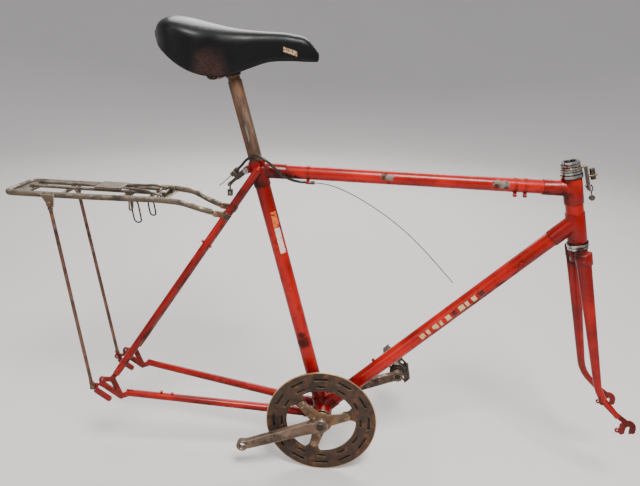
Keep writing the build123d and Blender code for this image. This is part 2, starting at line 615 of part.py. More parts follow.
# ---------------------------------------------------------------- front cable hanger
# An L bracket under the lock nut, a barrel adjuster in its shelf, and a wire link with a round stop.
HANGER_WIDTH = 15.0
hanger_mid = HEAD_TOP + HEAD_AXIS * (RACE_TOP + HANGER_THICK / 2)
HANGER_REACH = 25.0
arm_top = hanger_mid + HEAD_AHEAD * HANGER_REACH
ARM_AHEAD = 34.630306            # hanger arm's foot from the head tube's top
ARM_BELOW = 21.731100
arm_foot = HEAD_TOP + Vector(ARM_AHEAD, 0, -ARM_BELOW)
tongue = Plane(origin=hanger_mid, x_dir=LEFT, z_dir=HEAD_AHEAD) * Box(
    HANGER_WIDTH, HANGER_THICK, HANGER_REACH + 1.2, align=CENTRED)
hanger = collar(HEAD_TOP, HEAD_AXIS, RACE_TOP, HANGER_TOP, 17.2, STEERER_R - 2) + tongue
hanger = hanger + bar(arm_top + HEAD_AHEAD * 0.2 + HEAD_AXIS * HANGER_THICK / 2, arm_foot,
                      HANGER_WIDTH, HANGER_THICK)
SHELF_LENGTH = 17.0
arm_run = (arm_foot - arm_top).normalized()
arm_ahead = Vector(-arm_run.Z, 0, arm_run.X)
shelf_root = arm_top + arm_run * 20
shelf = Plane(origin=shelf_root, x_dir=LEFT, z_dir=arm_ahead) * Box(
    HANGER_WIDTH - 3, HANGER_THICK, SHELF_LENGTH, align=CENTRED)
front_barrel_foot = shelf_root + arm_ahead * 10.5
BARREL_R = 3.6
barrel_axis = -arm_run
hanger = hanger + shelf - disc(HEAD_TOP, HEAD_AXIS, 0, 40, STEERER_FIT_R)
hanger = hanger - disc(front_barrel_foot, barrel_axis, -10, 10, BARREL_R - 0.6 + RUNNING)
link_pivot = arm_top + arm_run * 38.0
LINK_R = 1.1
hanger = hanger - rod(link_pivot - arm_ahead * 9, link_pivot + arm_ahead * 9, 2.2)
save("front_hanger", hanger)


def barrel(foot, axis, below, above):
    """Cable adjuster: threaded shank through the bracket, head above it, cable hole right through."""
    shank = disc(foot, axis, -below, above, BARREL_R - 0.6)
    head = hexagon(foot, axis, HANGER_THICK / 2 + GAP, above, 2 * BARREL_R + 1.4)
    nut = collar(foot, axis, -below, -HANGER_THICK / 2 - GAP, BARREL_R + 0.9, BARREL_R - 0.8)
    return shank + head + nut - disc(foot, axis, -below - MARGIN, above + MARGIN, CABLE_R + GAP)


FRONT_BARREL_ABOVE = 12.5
front_barrel = barrel(front_barrel_foot, barrel_axis, 8.0, FRONT_BARREL_ABOVE)
front_barrel = front_barrel - disc(front_barrel_foot, barrel_axis, 6, 20, HOUSING_R + RUNNING)
save("front_barrel", front_barrel)
STOP_R = 5.2
link_points = [link_pivot - arm_ahead * 4.4, link_pivot + arm_ahead * 5.6, link_pivot + Vector(9.0, 0, -5),
               link_pivot + Vector(7.4, 0, -11.5), link_pivot + Vector(9.4, 0, -19)]
front_link = disc(link_pivot, arm_ahead, -4.6, -3.2, 3.4)
for start, end in zip(link_points, link_points[1:]):
    front_link = front_link + rod(start, end, LINK_R) + Pos(end) * Sphere(LINK_R)
stop_centre = link_points[-1] + Vector(0.8, 0, -2.6)
front_link = front_link + rod(stop_centre - LEFT * 2.4, stop_centre + LEFT * 2.4, STOP_R)
save("front_link", front_link)

# ---------------------------------------------------------------- seat binder and rear cable hanger
HANGER_PLATE = 2.0
hanger_inner_y = EAR_WIDTH / 2
BINDER_HEAD = hanger_inner_y + HANGER_PLATE
binder_bolt = rod(binder - LEFT * BINDER_HEAD, binder + LEFT * (BINDER_HEAD + 6), M6_R - RUNNING)
binder_bolt = binder_bolt + hexagon(binder, -LEFT, BINDER_HEAD, BINDER_HEAD + 4, 10)
binder_nut = hexagon(binder, LEFT, BINDER_HEAD, BINDER_HEAD + 5, 10)
binder_nut = binder_nut - rod(binder - LEFT * 30, binder + LEFT * 30, M6_R - RUNNING)
save("binder_bolt", binder_bolt, binder_nut)

rear_barrel_foot = from_bb(-189.5, 0, 496.0)
rear_barrel_axis = Vector(1, 0, 1).normalized()
hanger_knee = from_bb(-182, 0, 489)
hanger_foot = from_bb(-197.5, 0, 474.0)
side_outline = capsule(binder, hanger_knee, 5.0) + capsule(hanger_knee, hanger_foot, 3.0)
side_outline = side_outline + capsule(hanger_knee, rear_barrel_foot, 3.4)
HANGER_PIN_R = 1.6
side_outline = side_outline - spot(binder, M6_R) - spot(hanger_foot, HANGER_PIN_R)
side_plate = plate(side_outline, hanger_inner_y, hanger_inner_y + HANGER_PLATE)
hanger_bridge = Plane(origin=rear_barrel_foot, x_dir=LEFT, z_dir=rear_barrel_axis) * Box(
    2 * hanger_inner_y, 9, HANGER_THICK, align=(Align.CENTER, Align.CENTER, Align.CENTER))
hanger_bridge = hanger_bridge - disc(rear_barrel_foot, rear_barrel_axis, -10, 10, BARREL_R - 0.6 + RUNNING)
rear_hanger = side_plate + mirrored(side_plate) + hanger_bridge
PIN_HALF = hanger_inner_y + 3
rear_pin = rod(hanger_foot - LEFT * PIN_HALF, hanger_foot + LEFT * PIN_HALF, HANGER_PIN_R)
save("rear_hanger", rear_hanger + rear_pin)
REAR_BARREL_ABOVE = 10.0
rear_barrel = barrel(rear_barrel_foot, rear_barrel_axis, 8.0, REAR_BARREL_ABOVE)
rear_barrel = rear_barrel - disc(rear_barrel_foot, rear_barrel_axis, 6, 20, HOUSING_R + RUNNING)
save("rear_barrel", rear_barrel)

# The yoke hangs from the hanger's pin and swings on it.
YOKE_DROP = 17.0
yoke_eye = rod(hanger_foot - LEFT * 3, hanger_foot + LEFT * 3, 3.8)
yoke_neck = bar(hanger_foot - UP * 2, hanger_foot - UP * (YOKE_DROP - 5), 4.0, 2.2)
yoke_block = Pos(hanger_foot - UP * YOKE_DROP) * Box(9.0, 8.0, 12.0)
yoke = yoke_eye + yoke_neck + yoke_block
yoke = yoke - rod(hanger_foot - LEFT * 20, hanger_foot + LEFT * 20, HANGER_PIN_R + RUNNING)
yoke = yoke - rod(hanger_foot - UP * YOKE_DROP - LEFT * 20, hanger_foot - UP * YOKE_DROP + LEFT * 20, 1.8)
save("rear_yoke", yoke)

# ---------------------------------------------------------------- rear brake cable
# Black housing from the barrel, round the seat post's right side, to the clip under the top tube.
HOUSING_SEAT = 6.0
housing_start = rear_barrel_foot + rear_barrel_axis * HOUSING_SEAT
housing_points = [
    housing_start,
    rear_barrel_foot + rear_barrel_axis * 19.0,
    from_bb(-166.0, -9.0, 522.5),
    from_bb(-153.0, -16.5, 531.5),
    from_bb(-138.0, -20.2, 532.0),
    from_bb(-123.5, -21.0, 523.5),
    from_bb(-109.0, -20.5, 510.5),
    from_bb(-95.0, -18.5, 498.5),
    from_bb(-80.0, -13.5, 490.5),
    Vector(BB_X - 64.0, 0, HEAD_JOIN.Z) + clip_eye_aim * CLIP_EYE_DROP,
    Vector(BB_X - 38.4, 0, HEAD_JOIN.Z) + clip_eye_aim * CLIP_EYE_DROP,
]
housing_end = housing_points[-1]
housing, housing_path, housing_radii = swept(housing_points, HOUSING_R)
print("brake_housing length", round(housing_path.length, 1), "radii", [round(r, 1) for r in housing_radii])
save("brake_housing", housing)

front_wire_points = [
    housing_end,
    housing_end + Vector(19.0, 0, 0),
    from_bb(8.0, -8.5, 480.0),
    from_bb(41.0, -9.8, 466.5),
    from_bb(76.0, -11.5, 448.0),
    from_bb(113.0, -13.5, 424.5),
    from_bb(147.0, -15.0, 398.5),
    from_bb(178.0, -16.0, 370.0),
    from_bb(207.0, -16.5, 341.0),
    from_bb(235.5, -16.5, 311.5),
]
save_cord("front_wire", front_wire_points, CABLE_R)
tail_start = rear_barrel_foot - rear_barrel_axis * 8.0
tail_wire_points = [
    tail_start,
    tail_start + Vector(-10.5, -0.6, -11.0),
    tail_start + Vector(-22.5, -1.6, -21.0),
]
save_cord("tail_wire", tail_wire_points, CABLE_R)

# ---------------------------------------------------------------- seat post and saddle clip
POST_NECK_R = 11.1
POST_NECK = 34.0
post_top = BB + SEAT_AXIS * SEAT_POST_TOP
post_shoulder = post_top - SEAT_AXIS * POST_NECK
post_foot = post_top - SEAT_AXIS * SEAT_POST_LENGTH
seat_post = rod(post_foot, post_shoulder, SEAT_POST_R) + rod(post_shoulder, post_top, POST_NECK_R)
seat_post = seat_post - rod(post_foot - SEAT_AXIS, post_top + SEAT_AXIS, POST_NECK_R - 1.8)
save("seat_post", seat_post)

CLIP_BAND_R = 14.0
CLIP_BAND_HEIGHT = 22.0
clip_centre = post_top - SEAT_AXIS * 16
CLIP_BOLT_BACK = 30.0           # clip's bolt behind the post's axis
tilt_pivot = clip_centre - SEAT_AHEAD * CLIP_BOLT_BACK
CLIP_BOLT_R = 4.0
BAND_HALF = 11.0
band = disc(clip_centre, SEAT_AXIS, -CLIP_BAND_HEIGHT / 2, CLIP_BAND_HEIGHT / 2, CLIP_BAND_R)
band = band + plate(capsule(clip_centre, tilt_pivot, 8.5), -BAND_HALF, BAND_HALF)
band = band - rod(clip_centre - SEAT_AXIS * 40, clip_centre + SEAT_AXIS * 40, POST_NECK_R)
band = band - rod(tilt_pivot - LEFT * 20, tilt_pivot + LEFT * 20, CLIP_BOLT_R)
BOLT_HALF = 33.5
clip_bolt = rod(tilt_pivot - LEFT * BOLT_HALF, tilt_pivot + LEFT * BOLT_HALF, CLIP_BOLT_R - RUNNING)
clip_bolt = clip_bolt + hexagon(tilt_pivot, LEFT, BOLT_HALF - 6, BOLT_HALF, 13)
clip_bolt = clip_bolt + hexagon(tilt_pivot, -LEFT, BOLT_HALF - 6, BOLT_HALF, 13)
save("saddle_clip_band", band, clip_bolt)

# Rail clips: one block each side, drilled for the rail, turning on the bolt.
RAIL_Y = RAIL_SPACING / 2
RAIL_ABOVE_BOLT = 11.5
CLIP_INNER_Y = BAND_HALF + GAP
CLIP_OUTER_Y = BOLT_HALF - 6 - GAP
rail_centre = tilt_pivot + UP * RAIL_ABOVE_BOLT
clip_outline = capsule(tilt_pivot - Vector(2, 0, 0), tilt_pivot + Vector(2, 0, 0), 9.0)
clip_outline = clip_outline + (Pos(rail_centre.X, rail_centre.Z - 1) * RectangleRounded(30, 13, 4))
rail_clip = plate(clip_outline, CLIP_INNER_Y, CLIP_OUTER_Y)
rail_clip = rail_clip - rod(tilt_pivot, tilt_pivot + LEFT * 40, CLIP_BOLT_R)
rail_bore = rod(rail_centre + Vector(-60, RAIL_Y, 0), rail_centre + Vector(60, RAIL_Y, 0),
                RAIL_WIRE_R + RUNNING)
rail_clip = rail_clip - rail_bore
save("rail_clips", *both_sides(rail_clip))

# ---------------------------------------------------------------- saddle
# A padded vinyl cover over a hollow plastic base, on two steel wire rails.
RAIL_Z = rail_centre.Z + BB_DROP
rail_points = [
    from_bb(-95, 6.5, RAIL_Z + 31),
    from_bb(-114, 8, RAIL_Z + 26),
    from_bb(-155, 14, RAIL_Z + 11),
    Vector(rail_centre.X + 36, RAIL_Y, rail_centre.Z),
    Vector(rail_centre.X - 40, RAIL_Y, rail_centre.Z),
    from_bb(-279, RAIL_Y + 8, RAIL_Z + 14),
    from_bb(-287, RAIL_Y + 16, RAIL_Z + 32),
]
rail_radii = [20, 30, 20, 8, 8]
rail_path = FilletPolyline(*rail_points, radius=rail_radii)
saddle_rail = sweep(Plane(origin=rail_path @ 0, z_dir=rail_path % 0) * Circle(RAIL_WIRE_R), path=rail_path)

SADDLE_REAR = -323.5
# Stations along the saddle: share of its length from the rear, half width as a share of the
# greatest, height of the top and height of the skirt's hem.
saddle_stations = [
    (0.00, 0.34, 744.0, 731.0),
    (0.035, 0.60, 757.5, 719.0),
    (0.10, 0.90, 766.5, 705.0),
    (0.18, 1.00, 766.0, 689.0),
    (0.30, 0.92, 760.0, 674.0),
    (0.42, 0.62, 753.5, 671.0),
    (0.54, 0.40, 749.5, 682.0),
    (0.68, 0.29, 748.0, 696.0),
    (0.84, 0.235, 746.0, 701.0),
    (0.945, 0.19, 737.0, 701.0),
    (1.00, 0.10, 720.0, 703.0),
]


def saddle_section(share, half_width, top, hem, inset, drop, open_below):
    """Cross-section of the saddle: a flat hem, leaning sides and a round top, as one closed face."""
    x = SADDLE_REAR + share * SADDLE_LENGTH
    plane = Plane(origin=from_bb(x, 0, 0), x_dir=LEFT, z_dir=(1, 0, 0))
    half = half_width * SADDLE_WIDTH / 2 - inset
    crest = top - drop
    floor = hem - open_below
    shoulder = floor + (crest - floor) * 0.62
    with BuildSketch() as face:
        with BuildLine():
            Polyline((-half * 0.96, floor), (half * 0.96, floor), (half, shoulder))
            Spline((half, shoulder), (half * 0.62, crest - (crest - shoulder) * 0.16), (0, crest),
                   (-half * 0.62, crest - (crest - shoulder) * 0.16), (-half, shoulder))
            Line((-half, shoulder), (-half * 0.96, floor))
        make_face()
    return plane * face.sketch


def saddle_loft(stations, inset, drop, open_below):
    return loft([saddle_section(*station, inset, drop, open_below) for station in stations])


PAD_THICK = 12.0
BASE_THICK = 3.0
inner_stations = saddle_stations[2:-2]
pad_outer = saddle_loft(saddle_stations, 0, 0, 0)
pad_inner = saddle_loft(inner_stations, 4.0, PAD_THICK, 30)
base_inner = saddle_loft(inner_stations, 4.0 + BASE_THICK, PAD_THICK + BASE_THICK, 40)
saddle_pad = pad_outer - pad_inner
base_end = block(from_bb(-320, -90, 600), from_bb(SADDLE_REAR + 0.13 * SADDLE_LENGTH, 90, 800))
base_front = block(from_bb(SADDLE_REAR + 0.80 * SADDLE_LENGTH, -90, 600), from_bb(0, 90, 800))
base_shell = (pad_inner & pad_outer) - (base_inner - base_end - base_front)
rails = [saddle_rail, mirrored(saddle_rail)]
save("saddle_pad", saddle_pad)
save("saddle_base", base_shell - rails[0] - rails[1])
save("saddle_rails", *rails)


# ---------------------------------------------------------------- rear rack
# One bent tube makes both sides and the rear end. Wire bars and two inner rails lie between them.
RACK_Z = RACK_HEIGHT - BB_DROP  # rails' axis above the rear axle
rack_clamp_share = 0.80         # clamp's place along the seat stay, from the dropout
stay_foot, stay_top = seat_stay_line(-1)
clamp_centre = stay_foot + (stay_top - stay_foot) * rack_clamp_share
stay_direction = (stay_top - stay_foot).normalized()
EAR_BACK = 21.0
rail_end = clamp_centre + Vector(-EAR_BACK, 0, 2.0)
CORNER = 14.0
right_rail = [
    rail_end + Vector(-7, 0, 3),
    Vector(BB_X - 247, -36.0, RACK_Z - 13),
    Vector(BB_X - 280, -46.0, RACK_Z - 0.5),
    Vector(BB_X - 322, -RACK_HALF_WIDTH, RACK_Z + 2.5),
    Vector(BB_X - 450, -RACK_HALF_WIDTH, RACK_Z),
    Vector(BB_X + RACK_REAR, -RACK_HALF_WIDTH, RACK_Z - 1),
]
left_rail = [Vector(point.X, -point.Y, point.Z) for point in reversed(right_rail)]
rack_radii = [50, 70, 90, 200, CORNER, CORNER, 200, 90, 70, 50]
rack_path = FilletPolyline(*(right_rail + left_rail), radius=rack_radii)
rack_tube = sweep(Plane(origin=rack_path @ 0, z_dir=rack_path % 0) * Circle(RACK_RAIL_R), path=rack_path)
TONGUE_THICK = 3.0
right_end = right_rail[0]
tongues = []
for side in (-1, 1):
    tongue_y = side * abs(clamp_centre.Y)
    tongue_outline = capsule(right_end + Vector(-6, 0, 3), rail_end, 5.0) - spot(rail_end, M5_R)
    tongues.append(plate(tongue_outline, tongue_y - TONGUE_THICK / 2, tongue_y + TONGUE_THICK / 2))
rack_tube = rack_tube + tongues[0] + tongues[1]
rack_tube = rack_tube - rod(rail_end - LEFT * 60, rail_end + LEFT * 120, M5_R)

DECK_Z = RACK_Z + 2.0
bar_places = {"rear": -575.0, "strut": -508.0, "middle": -392.0, "clip": -345.0}
cross_bars = []
for place in bar_places.values():
    x = BB_X + place
    wire = rod(Vector(x, -RACK_HALF_WIDTH, DECK_Z - 2), Vector(x, RACK_HALF_WIDTH, DECK_Z - 2), RACK_WIRE_R)
    cross_bars.append(wire - rack_tube)
save("rack_cross_bars", *cross_bars)

INNER_RAIL_Y = 17.0
inner_z = DECK_Z - 2 + 2 * RACK_WIRE_R + 0.02
inner_start = BB_X + bar_places["rear"] - 6
inner_end = BB_X + bar_places["clip"] + 5
inner_rail = rod(Vector(inner_start, -INNER_RAIL_Y, inner_z), Vector(inner_end, -INNER_RAIL_Y, inner_z),
                 RACK_WIRE_R)
save("rack_inner_rails", *both_sides(inner_rail))

# Rear end plate under the rails' rear corner, with a bent strap below it for a reflector.
PLATE_THICK = 1.6
plate_rear = BB_X + RACK_REAR + RACK_RAIL_R
rear_plate = block(Vector(plate_rear, -RACK_HALF_WIDTH + RACK_RAIL_R, RACK_Z - 2),
                   Vector(BB_X + bar_places["rear"] - RACK_WIRE_R, RACK_HALF_WIDTH - RACK_RAIL_R,
                          RACK_Z - 2 + PLATE_THICK)) - rack_tube
strap_top = RACK_Z - 2
strap_points = [Vector(plate_rear + 1, strap_top), Vector(plate_rear + 5, strap_top - 13),
                Vector(plate_rear + 27, strap_top)]
strap_outline = capsule(Vector(strap_points[0].X, 0, strap_points[0].Y),
                        Vector(strap_points[1].X, 0, strap_points[1].Y), 1.3)
strap_outline = strap_outline + capsule(Vector(strap_points[1].X, 0, strap_points[1].Y),
                                        Vector(strap_points[2].X, 0, strap_points[2].Y), 1.3)
strap = plate(strap_outline, -9, 9) - block(Vector(plate_rear - 20, -80, strap_top),
                                            Vector(plate_rear + 60, 80, strap_top + 30)) - rack_tube
save("rack_rear_plate", rear_plate + strap)

# Sprung luggage clip: a wire bail with a clip plate at its tip, hinged on the front bar.
CLIP_HINGE = Vector(BB_X - 322, 0, DECK_Z + 3.2)
front_plate = block(CLIP_HINGE + Vector(-9, -RACK_HALF_WIDTH, -7.6),
                    CLIP_HINGE + Vector(11, RACK_HALF_WIDTH, -7.6 + PLATE_THICK)) - rack_tube
hinge_ears = []
for side in (-1, 1):
    ear_y = side * 38.0
    ear_outline = capsule(CLIP_HINGE, CLIP_HINGE - UP * 5, 5.4) - spot(CLIP_HINGE, RACK_WIRE_R + RUNNING)
    ear = plate(ear_outline, ear_y - 1.2, ear_y + 1.2)
    ear = ear - block(CLIP_HINGE + Vector(-30, -60, -30), CLIP_HINGE + Vector(30, 60, -7.6))
    hinge_ears.append(ear)
front_plate = front_plate + hinge_ears[0] + hinge_ears[1]
save("rack_front_plate", front_plate)

BAIL_Y = 30.0
BAIL_R = 2.2
BAIL_Z = inner_z + RACK_WIRE_R + BAIL_R + GAP
bail_tip_x = BB_X - 452
HINGE_HALF = 44.0
bail = rod(CLIP_HINGE - LEFT * HINGE_HALF, CLIP_HINGE + LEFT * HINGE_HALF, RACK_WIRE_R)
for side in (-1, 1):
    arm_start = Vector(CLIP_HINGE.X, side * BAIL_Y, CLIP_HINGE.Z)
    arm_rise = Vector(CLIP_HINGE.X - 26, side * BAIL_Y * 0.86, BAIL_Z)
    arm_end = Vector(bail_tip_x + 42, side * 10, BAIL_Z)
    bail = bail + rod(arm_start, arm_rise, BAIL_R) + (Pos(arm_rise) * Sphere(BAIL_R))
    bail = bail + rod(arm_rise, arm_end, BAIL_R)
tip_low = Vector(bail_tip_x, -24, BAIL_Z - BAIL_R)
bail = bail + block(tip_low, tip_low + Vector(50, 48, 1.8 + BAIL_R))
save("rack_clip", bail)

# A wire loop hangs from the middle bar and swings there.
LOOP_PIVOT = Vector(BB_X + bar_places["middle"], 0, DECK_Z - 2)
LOOP_R = 1.6
loop_eye_r = RACK_WIRE_R + RUNNING
loop_eyes = []
for side in (-1, 1):
    y = side * 9.0
    loop_eyes.append(collar(Vector(LOOP_PIVOT.X, y, LOOP_PIVOT.Z), LEFT, -1.4, 1.4,
                            loop_eye_r + 2 * LOOP_R, loop_eye_r))
loop_top = loop_eye_r + LOOP_R
LOOP_HALF = 9.0
LOOP_DROP = 34.0
loop_points = [LOOP_PIVOT - LEFT * LOOP_HALF - UP * loop_top, LOOP_PIVOT - LEFT * LOOP_HALF - UP * LOOP_DROP,
               LOOP_PIVOT + LEFT * LOOP_HALF - UP * LOOP_DROP, LOOP_PIVOT + LEFT * LOOP_HALF - UP * loop_top]
loop_path = FilletPolyline(*loop_points, radius=6)
loop_wire = sweep(Plane(origin=loop_path @ 0, z_dir=loop_path % 0) * Circle(LOOP_R), path=loop_path)
loop_bores = rod(LOOP_PIVOT - LEFT * 20, LOOP_PIVOT + LEFT * 20, loop_eye_r)
save("rack_loop", (loop_wire + loop_eyes[0] + loop_eyes[1]) - loop_bores)

# Two struts from tabs under the rails to the rear eyelets.
STRUT_FOOT_Y = DROPOUT_Y + DROPOUT_THICK / 2
FLAT_THICK = 2.4
strut_foot = rear_eyelet - LEFT * (STRUT_FOOT_Y + FLAT_THICK / 2)
strut_head = from_bb(-524, -RACK_HALF_WIDTH - RACK_RAIL_R - 3.2, 428)
strut_run = (strut_head - strut_foot).normalized()
flat_foot = bar(strut_foot - strut_run * 6, strut_foot + strut_run * 13, FLAT_THICK, 9.5)
shaft_start = strut_foot + strut_run * 12 - LEFT * 0.8
strut_top = rod(shaft_start, strut_head - strut_run * 10, STRUT_R)
strut = flat_foot + strut_top + bar(strut_head - strut_run * 12, strut_head + strut_run * 6, FLAT_THICK, 9.5)
head_y = strut_head.Y
# The flattened ends are ground square to the dropout and to the rack's tab.
dropout_face = block(Vector(-100, -STRUT_FOOT_Y, -30), Vector(60, -STRUT_FOOT_Y + 20, 60))
foot_face = block(Vector(-100, -STRUT_FOOT_Y - 20, -30),
                  Vector(60, -STRUT_FOOT_Y - FLAT_THICK, rear_eyelet.Z + 7))
head_low = Vector(strut_head.X - 20, head_y, strut_head.Z - 8)
inner_face = block(head_low + LEFT * (FLAT_THICK / 2), head_low + Vector(40, 20, 30))
outer_face = block(head_low + Vector(0, -20, 2), head_low + Vector(40, -FLAT_THICK / 2, 30))
for face in (dropout_face, foot_face, inner_face, outer_face):
    strut = strut - face
strut = strut - rod(rear_eyelet - LEFT * 100, rear_eyelet, M5_R)
strut = strut - rod(strut_head - LEFT * 20, strut_head + LEFT * 20, M5_R)
save("rack_struts", *both_sides(strut))

tab_y_high = head_y + FLAT_THICK / 2 + 2.0
tab_y_low = head_y + FLAT_THICK / 2
tab_outline = make_face(Polyline((strut_head.X - 18, RACK_Z + 1), (strut_head.X + 9, RACK_Z + 1),
                                 (strut_head.X + 7, strut_head.Z - 6), (strut_head.X - 3, strut_head.Z - 6),
                                 close=True))
tab_outline = tab_outline - spot(strut_head, M5_R)
rack_tab = plate(tab_outline, tab_y_low, tab_y_high)
rack_rails = rack_tube + rack_tab + mirrored(rack_tab)
save("rack_rails", rack_rails)

# Clamps on the seat stays: a band with two ears that grip the rack's flattened front ends.
CLAMP_WALL = 1.6
clamp_band = collar(clamp_centre, stay_direction, -6, 6, SEAT_STAY_R + CLAMP_WALL, SEAT_STAY_R)
ear_low_y = clamp_centre.Y - TONGUE_THICK / 2
ear_high_y = clamp_centre.Y + TONGUE_THICK / 2
ears = capsule(clamp_centre, rail_end, 5.5) - spot(rail_end, M5_R)
clamp_ears = plate(ears, ear_low_y - CLAMP_WALL, ear_low_y)
clamp_ears = clamp_ears + plate(ears, ear_high_y, ear_high_y + CLAMP_WALL)
clamp_ears = clamp_ears - rod(stay_foot, stay_top, SEAT_STAY_R)
rack_clamp = clamp_band + clamp_ears
save("rack_clamps", *both_sides(rack_clamp - rack_tube))


def screw(place, low, high, radius, across, height):
    """Screw along Y: its shank between two Y values, a hexagon head outside each end."""
    start = Vector(place.X, low, place.Z)
    shank = rod(start, Vector(place.X, high, place.Z), radius)
    outer_head = hexagon(start, -LEFT, 0, height, across)
    return shank + outer_head


rack_screws = [
    screw(rail_end, ear_low_y - CLAMP_WALL, ear_high_y + CLAMP_WALL + 3, M5_R - RUNNING, 8.0, 3.4),
    screw(strut_head, head_y - FLAT_THICK / 2, tab_y_high + 3, M5_R - RUNNING, 8.0, 3.4),
    screw(rear_eyelet, -STRUT_FOOT_Y - FLAT_THICK, -DROPOUT_Y + DROPOUT_THICK / 2 + 2,
          M5_R - RUNNING, 8.0, 3.4),
]
save("rack_screws", *[piece for part in rack_screws for piece in both_sides(part)])

# ---------------------------------------------------------------- bottom bracket and crankset
SHELL_HALF = BB_SHELL_WIDTH / 2
CUP_LIP_R = 20.5
CUP_DEPTH = 14.0
CUP_LIP = 3.0
SPINDLE_BORE_R = 9.4
BALL_TRACK_R = 14.2


def bracket_cup(out):
    threaded = collar(BB, out, SHELL_HALF - CUP_DEPTH, SHELL_HALF, BB_THREAD_R, BALL_TRACK_R)
    lip_r = CUP_LIP_R if out.Y < 0 else BB_THREAD_R
    return threaded + collar(BB, out, SHELL_HALF, SHELL_HALF + CUP_LIP, lip_r, SPINDLE_BORE_R)


LOCK_RING_R = 22.0
lock_ring = collar(BB, LEFT, SHELL_HALF, SHELL_HALF + CUP_LIP, LOCK_RING_R, BB_THREAD_R)
for notch in PolarLocations(LOCK_RING_R, 6):
    ring_plane = Plane(origin=BB + LEFT * (SHELL_HALF - MARGIN), x_dir=(1, 0, 0), z_dir=LEFT)
    lock_ring = lock_ring - ring_plane * notch * Box(3.4, 3.4, 8, align=CENTRED)
save("bottom_bracket_cups", bracket_cup(-LEFT), bracket_cup(LEFT), lock_ring)

CONE_R = 10.6
CONE_Y = SHELL_HALF - CUP_DEPTH + 4.0
RIGHT_END = 67.5
LEFT_END = 66.0
spindle = rod(BB - LEFT * RIGHT_END, BB + LEFT * LEFT_END, SPINDLE_R)
for side in (-1, 1):
    cone_centre = BB + LEFT * side * CONE_Y
    spindle = spindle + rod(cone_centre - LEFT * 3.2, cone_centre + LEFT * 3.2, CONE_R)

# Ball cages: a ring of balls in each bearing, joined as a cage joins them.
cages = []
for side in (-1, 1):
    ball_plane = Plane(origin=BB + LEFT * side * CONE_Y, z_dir=LEFT)
    cages.append(ball_plane * Torus((CONE_R + BALL_TRACK_R) / 2, (BALL_TRACK_R - CONE_R) / 2 - 0.1))
CAGE_PLACE = 5.2                # cage's middle outside the head tube's end
for place in (HEAD_TOP + HEAD_AXIS * CAGE_PLACE, HEAD_BOTTOM - HEAD_AXIS * CAGE_PLACE):
    middle = (CUP_HOLLOW_R + RACE_HUG_R) / 2
    ball_r = (CUP_HOLLOW_R - RACE_HUG_R) / 2 - 0.35
    cages.append(Plane(origin=place, z_dir=HEAD_AXIS) * Torus(middle, ball_r))
save("bearing_cages", *cages)

# Cranks. crank_plane maps local X along the arm, local Y across it and local Z outwards.
BOSS_INNER = 49.0
BOSS_OUTER = 66.0
EYE_R = 11.5
EYE_INNER = 67.0
EYE_OUTER = 79.5
ARM_HALF_ROOT = 12.5
ARM_HALF_TIP = 8.5
COTTER_OUT = SPINDLE_R + 1.4    # cotter pin's axis from the spindle's, along the arm


def crank_plane(side):
    angle = math.radians(CRANK_ANGLE)
    along = Vector(math.cos(angle), 0, math.sin(angle)) * side
    return Plane(origin=BB, x_dir=along, z_dir=LEFT * side)


def crank_arm(side):
    """Arm seen from its side, cut by its shape seen from above, with a boss and an eye."""
    side_view = Pos(CRANK_LENGTH / 2, 0) * Polygon(
        (-CRANK_LENGTH / 2, -ARM_HALF_ROOT), (CRANK_LENGTH / 2, -ARM_HALF_TIP),
        (CRANK_LENGTH / 2, ARM_HALF_TIP), (-CRANK_LENGTH / 2, ARM_HALF_ROOT), align=None)
    side_view = side_view + Circle(CRANK_BOSS_R) + (Pos(CRANK_LENGTH, 0) * Circle(EYE_R))
    tall = extrude(side_view, 100)
    top_view = Polyline(
        (-CRANK_BOSS_R - 1, BOSS_INNER), (CRANK_BOSS_R + 2, BOSS_INNER), (26, BOSS_INNER + 3.5),
        (CRANK_LENGTH - EYE_R - 4, EYE_INNER), (CRANK_LENGTH + EYE_R + 1, EYE_INNER),
        (CRANK_LENGTH + EYE_R + 1, EYE_OUTER), (CRANK_LENGTH - EYE_R - 2, EYE_OUTER),
        (34, BOSS_OUTER), (-CRANK_BOSS_R - 1, BOSS_OUTER), close=True)
    sheet = Plane(origin=(0, 40, 0), x_dir=(1, 0, 0), z_dir=(0, -1, 0)) * make_face(top_view)
    local = tall & extrude(sheet, 80)
    cotter_bore = Pos(COTTER_OUT, 0, (BOSS_INNER + BOSS_OUTER) / 2) * Rot(90, 0, 0) * Cylinder(COTTER_R, 80)
    local = local - Cylinder(SPINDLE_R, 300) - cotter_bore
    local = local - Pos(CRANK_LENGTH, 0, 0) * Cylinder(PEDAL_THREAD_R, 300)
    return crank_plane(side) * local


def cotter(side):
    """Cotter pin, tapered flat against the spindle, with its washer and nut."""
    middle = (BOSS_INNER + BOSS_OUTER) / 2
    pin = Pos(COTTER_OUT, 0, middle) * Rot(90, 0, 0) * Cylinder(COTTER_R, 42)
    stud = Pos(COTTER_OUT, -side * 23, middle) * Rot(90, 0, 0) * Cylinder(COTTER_R - 1.5, 18)
    nut_plane = Plane(origin=(COTTER_OUT, -side * CRANK_BOSS_R, middle), x_dir=(1, 0, 0),
                      z_dir=(0, -side, 0))
    washer = Cylinder(6.5, 1.4, align=CENTRED)
    nut = nut_plane * (extrude(RegularPolygon(5.5, 6, major_radius=False), 6) + washer)
    pin = pin & Pos(COTTER_OUT, side * 6, middle) * Box(20, 2 * CRANK_BOSS_R + 10, 20)
    return crank_plane(side) * (pin + stud + nut)


for side in (-1, 1):
    spindle = spindle - cotter(side)
save("spindle", spindle)
crank_right = crank_arm(-1)
crank_left = crank_arm(1)
save("crank_right", crank_right)
save("crank_left", crank_left)
save("cotters", cotter(-1), cotter(1))

